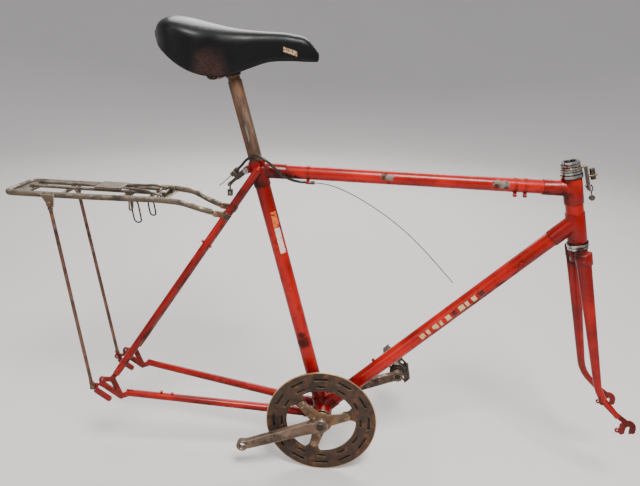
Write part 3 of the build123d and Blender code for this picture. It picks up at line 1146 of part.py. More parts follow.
# Spider: a pressed three-armed star on the right crank's boss. It carries the guard and the chainring.
guard_plane = Plane(origin=BB, x_dir=crank_plane(1).x_dir, z_dir=-LEFT)
spider_star = Circle(CRANK_BOSS_R + 8)
for turn in (0, 120, 240):
    arm_shape = Polygon((0, -15), (SPIDER_BOLT_R, -9), (SPIDER_BOLT_R, 9), (0, 15), align=None)
    spider_star = spider_star + Rot(0, 0, turn) * arm_shape
    spider_star = spider_star + Rot(0, 0, turn) * Pos(SPIDER_BOLT_R, 0) * Circle(9)
CHAINRING_BOLT_R = 4.0
bolt_holes = [Rot(0, 0, turn) * Pos(SPIDER_BOLT_R, 0) * Circle(CHAINRING_BOLT_R) for turn in (0, 120, 240)]


def guard_layer(sketch, low, high):
    """A flat piece of the crankset between two distances to the right of the middle plane."""
    layer = Plane(origin=guard_plane.origin + guard_plane.z_dir * low, x_dir=guard_plane.x_dir,
                  z_dir=guard_plane.z_dir)
    return extrude(layer * sketch, high - low)


spider_sketch = spider_star - Circle(SPINDLE_R + RUNNING)
for hole in bolt_holes:
    spider_sketch = spider_sketch - hole
SPIDER_BACK = CHAIN_LINE - GUARD_THICK / 2 + GUARD_THICK
SPIDER_FRONT = BOSS_INNER
spider = guard_layer(spider_sketch, SPIDER_BACK, SPIDER_FRONT)
save("spider", spider)

# Guard and chainring share one blank: a ring with three inward tabs to the spider's bolts and,
# between the tabs, a big opening with curved sides.
TAB_HALF = 10.0


def ring_blank(outer):
    blank = Circle(outer) - Circle(GUARD_OPENING_R)
    for turn in (0, 120, 240):
        tab = Pos(SPIDER_BOLT_R, 0) * Circle(TAB_HALF)
        flare = Polygon((SPIDER_BOLT_R - 2, -TAB_HALF), (GUARD_OPENING_R + 2, -24),
                        (GUARD_OPENING_R + 2, 24), (SPIDER_BOLT_R - 2, TAB_HALF), align=None)
        for side in (-1, 1):
            flare = flare - Pos(SPIDER_BOLT_R + 3, side * 25) * Circle(15.5)
        blank = blank + Rot(0, 0, turn) * (tab + flare)
    for hole in bolt_holes:
        blank = blank - hole
    return blank


SLOTS = 12
OUTER_SLOT_R = 97.0
INNER_SLOT_R = 80.5
guard_sketch = ring_blank(GUARD_R)
for i in range(SLOTS):
    turn = (i + 0.5) * 360 / SLOTS
    for slot_r, slot_length, slot_width in ((OUTER_SLOT_R, 30, 5.4), (INNER_SLOT_R, 20, 4.6)):
        slot = Rot(0, 0, 90) * SlotOverall(slot_length, slot_width)
        guard_sketch = guard_sketch - Rot(0, 0, turn) * Pos(slot_r, 0) * slot
GUARD_BACK = CHAIN_LINE - GUARD_THICK / 2
guard = guard_layer(guard_sketch, GUARD_BACK, GUARD_BACK + GUARD_THICK)
save("chain_guard", guard)

# The chainring behind the guard has round tooth gaps at the half-inch chain's pitch.
CHAIN_PITCH = 12.7
ROLLER_R = 4.1
RING_THICK = 2.0
pitch_r = CHAIN_PITCH / (2 * math.sin(math.pi / CHAINRING_TEETH))
ring_sketch = ring_blank(pitch_r + 3.2)
for i in range(CHAINRING_TEETH):
    turn = i * 360 / CHAINRING_TEETH
    ring_sketch = ring_sketch - Rot(0, 0, turn) * Pos(pitch_r + 0.8, 0) * Circle(ROLLER_R)
chainring = guard_layer(ring_sketch, GUARD_BACK - RING_THICK, GUARD_BACK)
save("chainring", chainring)

ring_bolts = []
for turn in (0, 120, 240):
    centre = guard_plane.from_local_coords(Vector(SPIDER_BOLT_R, 0, 0).rotate(Axis.Z, turn))
    shank = disc(centre, -LEFT, GUARD_BACK - RING_THICK, SPIDER_FRONT, CHAINRING_BOLT_R - RUNNING)
    head = collar(centre, -LEFT, SPIDER_FRONT, SPIDER_FRONT + 2.0, 6.0, 2.2)
    tail = disc(centre, -LEFT, GUARD_BACK - RING_THICK - 2.0, GUARD_BACK - RING_THICK, 6.0)
    ring_bolts.append(shank + head + disc(centre, -LEFT, SPIDER_FRONT, SPIDER_FRONT + 0.8, 6.0) + tail)
save("chainring_bolts", *ring_bolts)

# ---------------------------------------------------------------- left pedal
# Cage pedal: axle screwed into the left crank, a barrel that turns on it, two toothed cage
# plates and an end plate at each end.
pedal_centre = BB + crank_plane(1).x_dir * CRANK_LENGTH
PEDAL_INNER = 90.0
PEDAL_OUTER = 168.0
PEDAL_AXLE_R = 5.5
BARREL_BORE_R = 8.0
BARREL_OUTER_R = 10.5
pedal_axle = rod(pedal_centre + LEFT * EYE_INNER, pedal_centre + LEFT * EYE_OUTER, PEDAL_THREAD_R)
pedal_axle = pedal_axle + disc(pedal_centre, LEFT, EYE_OUTER, EYE_OUTER + 5, 8.6)
pedal_axle = pedal_axle + disc(pedal_centre, LEFT, EYE_OUTER + 5, PEDAL_OUTER - 6, PEDAL_AXLE_R)
for low in (PEDAL_INNER + 4, PEDAL_OUTER - 14):
    pedal_axle = pedal_axle + disc(pedal_centre, LEFT, low, low + 6, BARREL_BORE_R - RUNNING)
save("pedal_axle", pedal_axle)
barrel_body = collar(pedal_centre, LEFT, PEDAL_INNER, PEDAL_OUTER, BARREL_OUTER_R, BARREL_BORE_R)
cap = disc(pedal_centre, LEFT, PEDAL_OUTER - 3, PEDAL_OUTER + 4, BARREL_BORE_R)
cap = cap + disc(pedal_centre, LEFT, PEDAL_OUTER, PEDAL_OUTER + 4, BARREL_OUTER_R)
save("pedal_barrel", barrel_body, cap)

PEDAL_TILT = -42.0              # cage's plane to the ground, degrees
CAGE_HALF = 33.0                # cage plate's middle from the axle
CAGE_HEIGHT = 17.0
CAGE_THICK = 2.0
CAGE_INNER_Y = PEDAL_INNER + 4
CAGE_OUTER_Y = PEDAL_OUTER - 4
cage_axis = Vector(math.cos(math.radians(PEDAL_TILT)), 0, math.sin(math.radians(PEDAL_TILT)))
cage_plane = Plane(origin=pedal_centre, x_dir=cage_axis, z_dir=LEFT)
end_sketch = Circle(BARREL_OUTER_R + 6) + RectangleRounded(2 * CAGE_HALF - CAGE_THICK, 13, 3)
end_sketch = end_sketch - Circle(BARREL_OUTER_R)
for side in (-1, 1):
    end_sketch = end_sketch - Pos(side * 22, 0) * SlotOverall(9, 5)
cage_parts = []
for y in (CAGE_INNER_Y, CAGE_OUTER_Y - CAGE_THICK):
    level = Plane(origin=pedal_centre + LEFT * y, x_dir=cage_axis, z_dir=LEFT)
    cage_parts.append(extrude(level * end_sketch, CAGE_THICK))
TOOTH = 3.0
TEETH_PER_SIDE = 9
tooth_pitch = (CAGE_OUTER_Y - CAGE_INNER_Y - 8) / TEETH_PER_SIDE
for side in (-1, 1):
    long_plate = Pos(side * CAGE_HALF, 0, (CAGE_INNER_Y + CAGE_OUTER_Y) / 2) * Box(
        CAGE_THICK, CAGE_HEIGHT, CAGE_OUTER_Y - CAGE_INNER_Y)
    for i in range(TEETH_PER_SIDE):
        at_y = CAGE_INNER_Y + 4 + tooth_pitch * (i + 0.5)
        for edge in (-1, 1):
            notch = Pos(side * CAGE_HALF, edge * CAGE_HEIGHT / 2, at_y) * Rot(45, 0, 0)
            long_plate = long_plate - notch * Box(20, TOOTH, TOOTH)
    cage_parts.append(cage_plane * long_plate)
cage = cage_parts[0]
for piece in cage_parts[1:]:
    cage = cage + piece
save("pedal_cage", cage)
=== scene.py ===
import json
import math

import bmesh
import bpy
import numpy as np
from mathutils import Matrix, Vector

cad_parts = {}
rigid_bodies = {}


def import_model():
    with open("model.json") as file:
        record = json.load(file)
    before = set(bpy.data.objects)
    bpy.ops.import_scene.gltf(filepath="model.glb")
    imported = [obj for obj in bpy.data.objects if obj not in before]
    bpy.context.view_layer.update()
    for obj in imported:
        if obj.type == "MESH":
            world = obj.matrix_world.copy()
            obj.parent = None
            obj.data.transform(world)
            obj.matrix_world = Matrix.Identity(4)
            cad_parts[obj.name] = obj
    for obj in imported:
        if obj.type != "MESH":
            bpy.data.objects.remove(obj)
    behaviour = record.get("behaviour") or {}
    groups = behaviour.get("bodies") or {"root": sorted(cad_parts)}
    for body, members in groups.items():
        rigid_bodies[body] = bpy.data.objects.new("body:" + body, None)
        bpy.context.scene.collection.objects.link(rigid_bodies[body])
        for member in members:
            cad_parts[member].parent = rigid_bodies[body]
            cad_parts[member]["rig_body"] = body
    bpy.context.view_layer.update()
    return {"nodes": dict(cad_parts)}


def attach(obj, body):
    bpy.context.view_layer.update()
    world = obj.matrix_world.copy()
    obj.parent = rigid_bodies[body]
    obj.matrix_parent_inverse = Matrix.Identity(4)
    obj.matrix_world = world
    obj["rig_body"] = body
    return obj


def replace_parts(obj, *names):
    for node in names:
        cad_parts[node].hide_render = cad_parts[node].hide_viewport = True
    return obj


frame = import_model()
nodes = frame["nodes"]

# ---------------------------------------------------------------- camera, floor and light
# A hand-held camera at waist height looks down a little at the frameset's right side.
# The floor is a wide pale sheet that turns up far away, under three soft lamps and a pale sky.
LENS_MM = 33.87
SENSOR_MM = 36
NEAR_CLIP = 0.02
CAMERA_PLACE = Vector((0.4815, -1.1018, 0.6886))
CAMERA_TURN = Vector([math.radians(a) for a in (18.00, 3.80, 3.27)])
LEVEL_LOOK = Matrix(((1, 0, 0), (0, 0, -1), (0, 1, 0)))      # rows: right, down and ahead
FLOOR_Z = -0.1526                 # just under the chain guard, the lowest piece
FLOOR_CENTRE_X = 0.45
FLOOR_FLAT = 4.0                  # radius of the level part
FLOOR_REACH = 9.0                 # radius of the whole sheet
FLOOR_RISE = 4.5                  # height of its rim
FLOOR_RINGS, FLOOR_SPOKES = 60, 96
FLOOR_COLOUR = (0.74, 0.715, 0.70)
SKY_COLOUR = (0.93, 0.95, 1.0)
SKY_STRENGTH = 0.42
FRONT_AIM = (0.45, 0, 0.2)        # the frameset's middle
BACK_AIM = (0.45, 0.9, 0.0)       # the floor behind it

look = Matrix.Rotation(CAMERA_TURN.length, 3, CAMERA_TURN.normalized()) @ LEVEL_LOOK
camera = bpy.data.objects.new("camera", bpy.data.cameras.new("camera"))
camera.data.lens = LENS_MM
camera.data.sensor_width = SENSOR_MM
camera.data.clip_start = NEAR_CLIP
turned = Matrix((look[0], -look[1], -look[2])).transposed()
camera.matrix_world = Matrix.Translation(CAMERA_PLACE) @ turned.to_4x4()
bpy.context.scene.collection.objects.link(camera)
bpy.context.scene.camera = camera


def grid_mesh(name, points, around=False, caps=False, loop=False):
    """Mesh of a (rows, columns, 3) array, with a quad between each four neighbours. The last column
    joins the first if around, the last row joins the first if loop, and caps closes the end rows."""
    rows, cols = points.shape[:2]
    i = np.arange(rows if loop else rows - 1)
    j = np.arange(cols if around else cols - 1)
    i, j = np.meshgrid(i, j, indexing="ij")
    after_i, after_j = (i + 1) % rows, (j + 1) % cols
    quads = np.stack([i * cols + j, i * cols + after_j,
                      after_i * cols + after_j, after_i * cols + j], -1)
    faces = quads.reshape(-1, 4).tolist()
    if caps:
        faces += [list(range(cols)), list(range((rows - 1) * cols, rows * cols))]
    mesh = bpy.data.meshes.new(name)
    mesh.from_pydata(points.reshape(-1, 3).tolist(), [], faces)
    return mesh


def piece_of(name, mesh, material):
    """Object at the origin, its normals made to point outwards and its faces smooth."""
    work = bmesh.new()
    work.from_mesh(mesh)
    bmesh.ops.remove_doubles(work, verts=work.verts, dist=1e-6)
    bmesh.ops.recalc_face_normals(work, faces=work.faces)
    work.to_mesh(mesh)
    work.free()
    mesh.polygons.foreach_set("use_smooth", [True] * len(mesh.polygons))
    made = bpy.data.objects.new(name, mesh)
    bpy.context.scene.collection.objects.link(made)
    made.data.materials.append(material)
    return made


class Wire:
    """One output socket of a material's node; arithmetic on it adds Math nodes."""

    def __init__(self, finish, socket):
        self.finish, self.socket = finish, socket

    def maths(self, operation, *values):
        """Math node of the operation on the values."""
        return self.finish.node("Math", {"operation": operation}, dict(enumerate(values)))

    def __add__(self, other):
        return self.maths("ADD", self, other)

    def __sub__(self, other):
        return self.maths("SUBTRACT", self, other)

    def __rsub__(self, other):
        return self.maths("SUBTRACT", other, self)

    def __mul__(self, other):
        return self.maths("MULTIPLY", self, other)

    def __truediv__(self, other):
        return self.maths("DIVIDE", self, other)

    __radd__ = __add__

    def __abs__(self):
        return self.maths("ABSOLUTE", self)

    def top(self, other):
        """The larger of the two."""
        return self.maths("MAXIMUM", self, other)

    def between(self, low, high):
        """0 up to low, 1 from high, and a smooth rise between; low may be the larger."""
        limits = {0: self, 1: low, 2: high, 3: 0.0, 4: 1.0}
        if low > high:
            limits.update({1: high, 2: low, 3: 1.0, 4: 0.0})
        return self.finish.node("MapRange", {"interpolation_type": "SMOOTHSTEP"}, limits)


class Finish:
    """A material on the Principled shader, with nodes added one by one."""

    def __init__(self, name, **uniform):
        self.material = bpy.data.materials.new(name)
        self.material.use_nodes = True
        self.tree = self.material.node_tree
        self.shader = self.tree.nodes["Principled BSDF"]
        self.place = self.node("TexCoord", {}, {}, "Object")
        self.facing = self.node("TexCoord", {}, {}, "Normal")
        for socket, value in uniform.items():
            self.shader.inputs[socket.replace("_", " ")].default_value = value

    def node(self, kind, settings, values, output=0):
        """Adds a node: settings first, then its sockets' values or links; gives one output."""
        made = self.tree.nodes.new("ShaderNode" + kind)
        for key, value in settings.items():
            setattr(made, key, value)
        for key, value in values.items():
            if isinstance(value, Wire):
                self.tree.links.new(value.socket, made.inputs[key])
            else:
                made.inputs[key].default_value = value
        return Wire(self, made.outputs[output])

    def vector(self, operation, *values, output=0, **named):
        """Vector Math node of the operation on the values; output 1 is a dot product or a distance."""
        sockets = {**dict(enumerate(values)), **named}
        return self.node("VectorMath", {"operation": operation}, sockets, output)

    def noise(self, scale, detail=3.0, rough=0.55, place=None, warp=0.0):
        """Fractal noise from 0 to 1 round 0.5, with scale features to the metre."""
        return self.node("TexNoise", {}, {"Vector": place or self.place, "Scale": scale,
                                          "Detail": detail, "Roughness": rough, "Distortion": warp})

    def upward(self):
        """The facing's part along Z: 1 on an upper face, 0 on a side and -1 on an underside."""
        return self.node("SeparateXYZ", {}, {0: self.facing}, "Z")

    def colours(self, share, first, second):
        """first * (1 - share) + second * share, each a colour or a link."""
        ends = [c if isinstance(c, Wire) else (*c, 1) for c in (first, second)]
        return self.node("Mix", {"data_type": "RGBA"}, {0: share, 6: ends[0], 7: ends[1]}, 2)

    def drawn_out(self, along, ratio):
        """place + along * (ratio - 1) * (place . along): a ratio under 1 stretches the marks."""
        run = self.vector("DOT_PRODUCT", self.place, along, output=1)
        return self.vector("ADD", self.place, self.vector("SCALE", along, Scale=run * (ratio - 1)))

    def edges(self, reach):
        """The normal as if edges were rounded by reach, and a share that is 1 on an edge and 0 on a
        face, from how far that normal leaves the face's."""
        rounded = self.node("Bevel", {"samples": 4}, {"Radius": reach})
        face = self.node("NewGeometry", {}, {}, "Normal")
        return rounded, self.vector("DOT_PRODUCT", rounded, face, output=1).between(0.985, 0.80)

    def near(self, centre, reach, ragged=0.35, scale=90.0, soft=0.08):
        """1 where distance / reach + 2 * ragged * (noise - 0.5) is under 1, with a border that is
        soft times reach wide each way."""
        gap = self.vector("DISTANCE", self.place, centre, output=1)
        wander = (self.noise(scale, 5.0, 0.65) - 0.5) * ragged * 2
        return (gap / reach + wander).between(1 + soft, 1 - soft)

    def done(self, **links):
        """Links the named sockets of the shader and gives the material."""
        for socket, value in links.items():
            self.tree.links.new(value.socket, self.shader.inputs[socket.replace("_", " ")])
        return self.material

    def bumped(self, height, depth, over=None):
        """Normal tilted by the height's slope, where a height of 1 is depth metres."""
        values = {"Height": height, "Distance": depth, "Strength": 1.0}
        if over:
            values["Normal"] = over
        return self.node("Bump", {}, values)


floor_finish = Finish("studio_paper", Roughness=0.85)
paper = floor_finish.noise(1.3, 3.0) * 0.6 + floor_finish.noise(260.0, 2.0) * 0.4
floor_material = floor_finish.done(
    Base_Color=floor_finish.colours(paper, [c * 0.93 for c in FLOOR_COLOUR],
                                    [c * 1.05 for c in FLOOR_COLOUR]),
    Normal=floor_finish.bumped(floor_finish.noise(420.0, 2.0), 0.0004))
# The floor is level out to FLOOR_FLAT; past it, it rises with the square of the way to its rim.
ring, turn = np.meshgrid(np.linspace(0, 1, FLOOR_RINGS),
                         np.linspace(0, 2 * np.pi, FLOOR_SPOKES, endpoint=False), indexing="ij")
reach = FLOOR_REACH * ring + 0.001
rise = FLOOR_RISE * np.clip((reach - FLOOR_FLAT) / (FLOOR_REACH - FLOOR_FLAT), 0, 1) ** 2
floor_points = np.stack([FLOOR_CENTRE_X + reach * np.cos(turn), reach * np.sin(turn),
                         FLOOR_Z + rise], -1)
floor = piece_of("floor", grid_mesh("floor", floor_points, around=True), floor_material)

world = bpy.data.worlds.new("sky")
world.use_nodes = True
sky = world.node_tree.nodes["Background"]
sky.inputs["Color"].default_value = (*SKY_COLOUR, 1)
sky.inputs["Strength"].default_value = SKY_STRENGTH
bpy.context.scene.world = world


def soft_lamp(name, place, aim, size, watts, colour):
    """Square lamp, size metres wide, at a place and turned to a point."""
    data = bpy.data.lights.new(name, "AREA")
    data.size, data.energy, data.color = size, watts, colour
    lamp = bpy.data.objects.new(name, data)
    lamp.location = place
    lamp.rotation_euler = (Vector(aim) - Vector(place)).to_track_quat("-Z", "Y").to_euler()
    bpy.context.scene.collection.objects.link(lamp)


soft_lamp("key_lamp", (0.9, -1.5, 2.5), FRONT_AIM, size=0.9, watts=105, colour=(1.0, 0.97, 0.93))
soft_lamp("fill_lamp", (-1.5, -1.9, 1.3), FRONT_AIM, size=1.2, watts=12, colour=(0.92, 0.96, 1.0))
soft_lamp("back_lamp", (0.3, 2.6, 2.4), BACK_AIM, size=2.2, watts=95, colour=(1.0, 0.98, 0.96))

# ---------------------------------------------------------------- bare brake wires
# Twisted steel inner wires, 1.6 mm thick and springy. The front one leaves its housing at the top
# tube's clip and stands out in the air, and the rear one's short tail stands out of the barrel.
WIRE_R = 0.0008
STEEL_GREY = (0.045, 0.042, 0.040)
STEEL_BROWN = (0.030, 0.014, 0.008)


def strand_finish():
    """Twisted wire: fine diagonal bands of two greys round a thin strand, browned in places."""
    strand = Finish("twisted_wire", Metallic=0.6, Specular_IOR_Level=0.3)
    twist = strand.node("TexWave", {"bands_direction": "DIAGONAL"},
                        {"Vector": strand.place, "Scale": 420.0, "Distortion": 0.6})
    brown = strand.noise(40.0, 4.0).between(0.45, 0.65)
    colour = strand.colours(twist, [c * 0.35 for c in STEEL_GREY], STEEL_GREY)
    colour = strand.colours(brown * 0.8, colour, STEEL_BROWN)
    return strand.done(Base_Color=colour, Roughness=0.32 + brown * 0.35,
                       Normal=strand.bumped(twist, 0.0002))


wire_finish = strand_finish()


def bare_wire(name, route):
    """Round wire of radius WIRE_R along a quadratic B-spline over the route's points, in metres."""
    curve = bpy.data.curves.new(name, "CURVE")
    curve.dimensions = "3D"
    curve.bevel_depth = WIRE_R
    curve.bevel_resolution = 4
    curve.use_fill_caps = True
    curve.resolution_u = 24
    spline = curve.splines.new("NURBS")
    spline.points.add(len(route) - 1)
    spline.points.foreach_set("co", [c for x, y, z in route for c in (x, y, z, 1.0)])
    spline.order_u = 3
    spline.use_endpoint_u = True
    made = bpy.data.objects.new(name, curve)
    bpy.context.scene.collection.objects.link(made)
    made.data.materials.append(wire_finish)
    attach(made, "frame")
    return made


FRONT_ROUTE = [(0.400107, -0.007317, 0.446926), (0.419107, -0.007317, 0.446926),
               (0.446507, -0.0085, 0.4403), (0.479507, -0.0098, 0.4268), (0.514507, -0.0115, 0.4083),
               (0.551507, -0.0135, 0.3848), (0.585507, -0.0150, 0.3588), (0.616507, -0.0160, 0.3303),
               (0.645507, -0.0165, 0.3013), (0.674007, -0.0165, 0.2718)]
TAIL_ROUTE = [(0.243350, 0.0, 0.450643), (0.232850, -0.0006, 0.439643),
              (0.220850, -0.0016, 0.429643)]
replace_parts(bare_wire("front_brake_wire", FRONT_ROUTE), "front_wire")
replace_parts(bare_wire("rear_wire_tail", TAIL_ROUTE), "tail_wire")

# ---------------------------------------------------------------- red enamel on the tubes
# Brazed steel tubes in a warm red enamel, faded in patches and dulled, with a painted highlight of
# paler red on the upper faces, chips down to dark steel, brown grime in patches and around the joints,
# darker towards the undersides, and rubbed patches.
RED_DEEP = (0.15, 0.0003, 0.0)
RED_WARM = (0.46, 0.005, 0.0)
RED_FADE_AND_TOP_LIGHT = (0.62, 0.048, 0.006)
GRIME = (0.016, 0.005, 0.003)
BARE_STEEL = (0.20, 0.17, 0.15)
CHIP_RUST = (0.075, 0.028, 0.014)
SEAT_AXIS = Vector((-0.27480, 0, 0.96150))
SEAT_AHEAD = Vector((0.96150, 0, 0.27480))
BB_CENTRE = Vector((0.4385, 0, -0.0397))


def red_enamel(name, chips, grime, dark=0.0, spots=(), bare=(), marks=None, edge=0.0):
    """Two reds by slow noise and a third, paler red in patches weighted to the upper faces as painted
    top light, then dirt by noise that is also darker towards the undersides, then chips where noise
    and edges pass a limit. chips and grime run from 0 to 1, dark over 0 gives more of the deep red,
    and spots and bare hold (centre, reach) of dirt and of bare steel."""
    coat = Finish(name, Coat_Roughness=0.12, IOR=1.45, Specular_IOR_Level=0.24)
    rounded, rim = coat.edges(0.0012)
    up = coat.upward()
    cloud = coat.noise(11.0, 4.0, 0.6)
    speck = coat.noise(330.0, 3.0, 0.6)
    colour = coat.colours(cloud.between(0.30 + dark * 0.3, 0.70 + dark * 0.3), RED_DEEP, RED_WARM)
    # Painted top light, partly fading: the paler red lies in noise patches weighted to the upper
    # faces.
    fade_and_top_light = coat.noise(30.0, 6.0, 0.7).between(0.52, 0.78) * up.between(-0.2, 0.9)
    colour = coat.colours(fade_and_top_light * 0.55, colour, RED_FADE_AND_TOP_LIGHT)
    # Darker brown towards the undersides by the facing, as well as by noise and by grime.
    dirt = (coat.noise(22.0, 8.0, 0.72) + (0.0 - up) * 0.13 + grime * 0.20).between(0.60, 0.83) * 0.85
    specks = speck.between(0.66, 0.74) * coat.noise(17.0).between(0.42, 0.62)
    dirt = dirt.top(specks * (0.3 + 0.5 * grime))
    for centre, reach in spots:
        dirt = dirt.top(coat.near(centre, reach, ragged=1.1, scale=75.0, soft=0.55) * 0.90)
    colour = coat.colours(dirt, colour, GRIME)
    chipped = coat.noise(150.0, 4.0, 0.7) + coat.noise(16.0, 2.0) * 0.35 + rim * (0.12 + edge)
    worn = chipped.between(0.915 - 0.09 * chips, 0.935 - 0.09 * chips)
    for centre, reach in bare:
        worn = worn.top(coat.near(centre, reach, ragged=0.45, scale=120.0))
    under = coat.colours(coat.noise(95.0, 5.0).between(0.42, 0.58), CHIP_RUST, BARE_STEEL)
    if marks:
        colour = marks(coat, colour)
    colour = coat.colours(worn, colour, under)
    shade = 0.30 + dirt * 0.38 + worn * 0.25 + cloud * 0.10
    height = (1 - worn) * 0.8 + speck * 0.05 + dirt * coat.noise(700.0, 2.0) * 0.25 + cloud * 0.1
    return coat.done(Base_Color=colour, Roughness=shade, Metallic=worn * 0.55,
                     Coat_Weight=(1 - worn) * (1 - dirt) * 0.26,
                     Normal=coat.bumped(height, 0.00022, rounded))


# The top tube is greasy behind and rubbed bare where clamps sat. The head tube and the bridges share
# a cleaner coat, and the stays and the small brazed fittings a dirtier one.
top_tube_coat = red_enamel(
    "enamel_top_tube", chips=0.30, grime=0.30, dark=-0.10,
    spots=[((0.322, -0.010, 0.456), 0.021), ((0.345, -0.009, 0.4535), 0.017),
           ((0.366, -0.007, 0.452), 0.010)],
    bare=[((0.530, -0.011, 0.4675), 0.0075), ((0.541, -0.0118, 0.4660), 0.006),
          ((0.733, -0.0117, 0.4660), 0.0085), ((0.747, -0.0117, 0.4655), 0.0085)])
nodes["top_tube"].data.materials[0] = top_tube_coat
plain_coat = red_enamel("enamel_frame", chips=0.50, grime=0.45)
nodes["head_tube"].data.materials[0] = plain_coat
nodes["stay_bridges"].data.materials[0] = plain_coat
dark_coat = red_enamel(
    "enamel_stays", chips=0.75, grime=0.80, dark=0.10,
    spots=[((0.262, -0.020, 0.425), 0.016), ((0.056, -0.064, 0.070), 0.012),
           ((0.405, -0.022, -0.046), 0.018)])
for name in ("seat_stays", "chain_stays", "brazed_fittings"):
    nodes[name].data.materials[0] = dark_coat


def tube_marks(start, along, side, bands):
    """Painted marks on a tube's right side, each (from, to, half width, middle, colour, wear): a
    mark is where from < run < to and |rise - middle| < half width, run is measured along the tube
    from start and rise across it, and noise under wear leaves it bare."""

    def marks(coat, colour):
        """Lays each mark on the colour, with a ragged border."""
        away = coat.vector("SUBTRACT", coat.place, start)
        run = coat.vector("DOT_PRODUCT", away, along, output=1)
        rise = coat.vector("DOT_PRODUCT", away, side, output=1)
        near_side = coat.node("SeparateXYZ", {}, {0: coat.facing}, "Y").between(0.05, -0.05)
        rag = (coat.noise(160.0, 4.0, 0.7) - 0.5) * 0.004
        for low, high, half, middle, paint, wear in bands:
            inside = ((run + rag).between(low, low + 0.0008)
                      * (run + rag).between(high, high - 0.0008))
            across = abs(rise - middle + rag).between(half, half - 0.0007)
            kept = coat.noise(120.0, 5.0, 0.7).between(wear, wear + 0.06)
            colour = coat.colours(inside * across * near_side * kept * 0.93, colour, paint)
        return colour

    return marks


# A maker's band on the seat tube: a worn orange patch above a cream panel, both plain.
CREAM = (0.72, 0.62, 0.50)
ORANGE = (0.70, 0.16, 0.035)
seat_tube_coat = red_enamel(
    "enamel_seat_tube", chips=0.45, grime=0.42,
    spots=[((0.392, -0.012, 0.120), 0.013), ((0.3885, -0.0115, 0.135), 0.008)],
    bare=[((0.3345, -0.0105, 0.3880), 0.0045)],
    marks=tube_marks(BB_CENTRE, SEAT_AXIS, SEAT_AHEAD, [
        (0.358, 0.410, 0.0048, 0.0075, CREAM, 0.22), (0.411, 0.442, 0.0050, 0.0078, ORANGE, 0.40)]))
nodes["seat_tube"].data.materials[0] = seat_tube_coat

# The down tube carries a worn row of plain gold and dark dashes between two thin lines that have
# nearly gone.
DOWN_START = Vector((0.4385, 0, -0.0347))
DOWN_RUN = (Vector((0.8880, 0, 0.4063)) - DOWN_START).normalized()
DOWN_SIDE = Vector((-DOWN_RUN.z, 0, DOWN_RUN.x))
PALE_INK = (0.58, 0.44, 0.23)
DARK_INK = (0.03, 0.012, 0.016)
ROW_START = 0.262                 # first dash, along the tube from the bottom bracket
DASH_STEP = 0.0158
DASH_HALF = 0.0052
DASH_MIDDLE = 0.0005
DASH_WEAR = 0.36
LINE_ENDS = (0.258, 0.424)
LINE_HALF = 0.0004
LINE_WEAR = 0.48
DASH_WIDTHS = (0.011, 0.008, 0.012, 0.007, 0.011, 0.009, 0.013, 0.008, 0.010, 0.012)
DARK_DASHES = (5, 9)
bands = []
for k, width in enumerate(DASH_WIDTHS):
    low = ROW_START + DASH_STEP * k
    ink = DARK_INK if k in DARK_DASHES else PALE_INK
    bands.append((low, low + width, DASH_HALF, DASH_MIDDLE, ink, DASH_WEAR))
for middle in (0.0062, -0.0052):
    bands.append((*LINE_ENDS, LINE_HALF, middle, PALE_INK, LINE_WEAR))
down_tube_coat = red_enamel(
    "enamel_down_tube", chips=0.40, grime=0.40, dark=-0.04,
    spots=[((0.748, -0.010, 0.247), 0.010), ((0.770, -0.008, 0.270), 0.012)],
    marks=tube_marks(DOWN_START, DOWN_RUN, DOWN_SIDE, bands))
nodes["down_tube"].data.materials[0] = down_tube_coat

# ---------------------------------------------------------------- lugs, shell and forged ends
# Cast lugs and forged plates brazed to the tubes, filed round at their edges, under the same enamel.
# Each is a copy of the plain solid with its sharp edges rounded.
MERGE_GAP = 2e-6
FLAT_ANGLE = math.radians(0.6)    # faces nearer to one plane than this are joined
ROUND_ANGLE = math.radians(32)    # edges sharper than this are rounded
SHARP_ANGLE = math.radians(38)    # edges still sharper than this are shaded sharp


def softened(node, width, material, segments=2):
    """Copy of a node's shape, in its place: each edge over ROUND_ANGLE becomes segments faces, width
    metres back from the edge on either side."""
    source = nodes[node]
    work = bmesh.new()
    work.from_mesh(source.data)
    bmesh.ops.remove_doubles(work, verts=work.verts, dist=MERGE_GAP)
    bmesh.ops.dissolve_limit(work, angle_limit=FLAT_ANGLE, verts=work.verts, edges=work.edges)
    mesh = bpy.data.meshes.new(node + "_soft")
    work.to_mesh(mesh)
    work.free()
    made = bpy.data.objects.new(node + "_soft", mesh)
    bpy.context.scene.collection.objects.link(made)
    made.data.materials.append(material)
    rounding = made.modifiers.new("rounding", "BEVEL")
    rounding.width = width
    rounding.segments = segments
    rounding.limit_method = "ANGLE"
    rounding.angle_limit = ROUND_ANGLE
    rounding.use_clamp_overlap = True
    bpy.context.view_layer.update()
    evaluated = made.evaluated_get(bpy.context.evaluated_depsgraph_get())
    finished = bpy.data.meshes.new_from_object(evaluated)
    made.modifiers.clear()
    finished.polygons.foreach_set("use_smooth", [True] * len(finished.polygons))
    finished.set_sharp_from_angle(angle=SHARP_ANGLE)
    made.data = finished
    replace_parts(made, node)
    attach(made, source["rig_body"])


lug_coat = red_enamel("enamel_lugs", chips=0.65, grime=0.72, dark=0.42, edge=0.10,
                      spots=[((0.300, -0.014, 0.4335), 0.014), ((0.272, -0.010, 0.430), 0.012)])
for name in ("head_lug_upper", "head_lug_lower", "seat_lug", "bb_shell"):
    softened(name, 0.0005, lug_coat)
plate_coat = red_enamel("enamel_dropouts", chips=0.95, grime=1.0, dark=0.35, edge=0.18)
softened("dropouts", 0.0008, plate_coat)

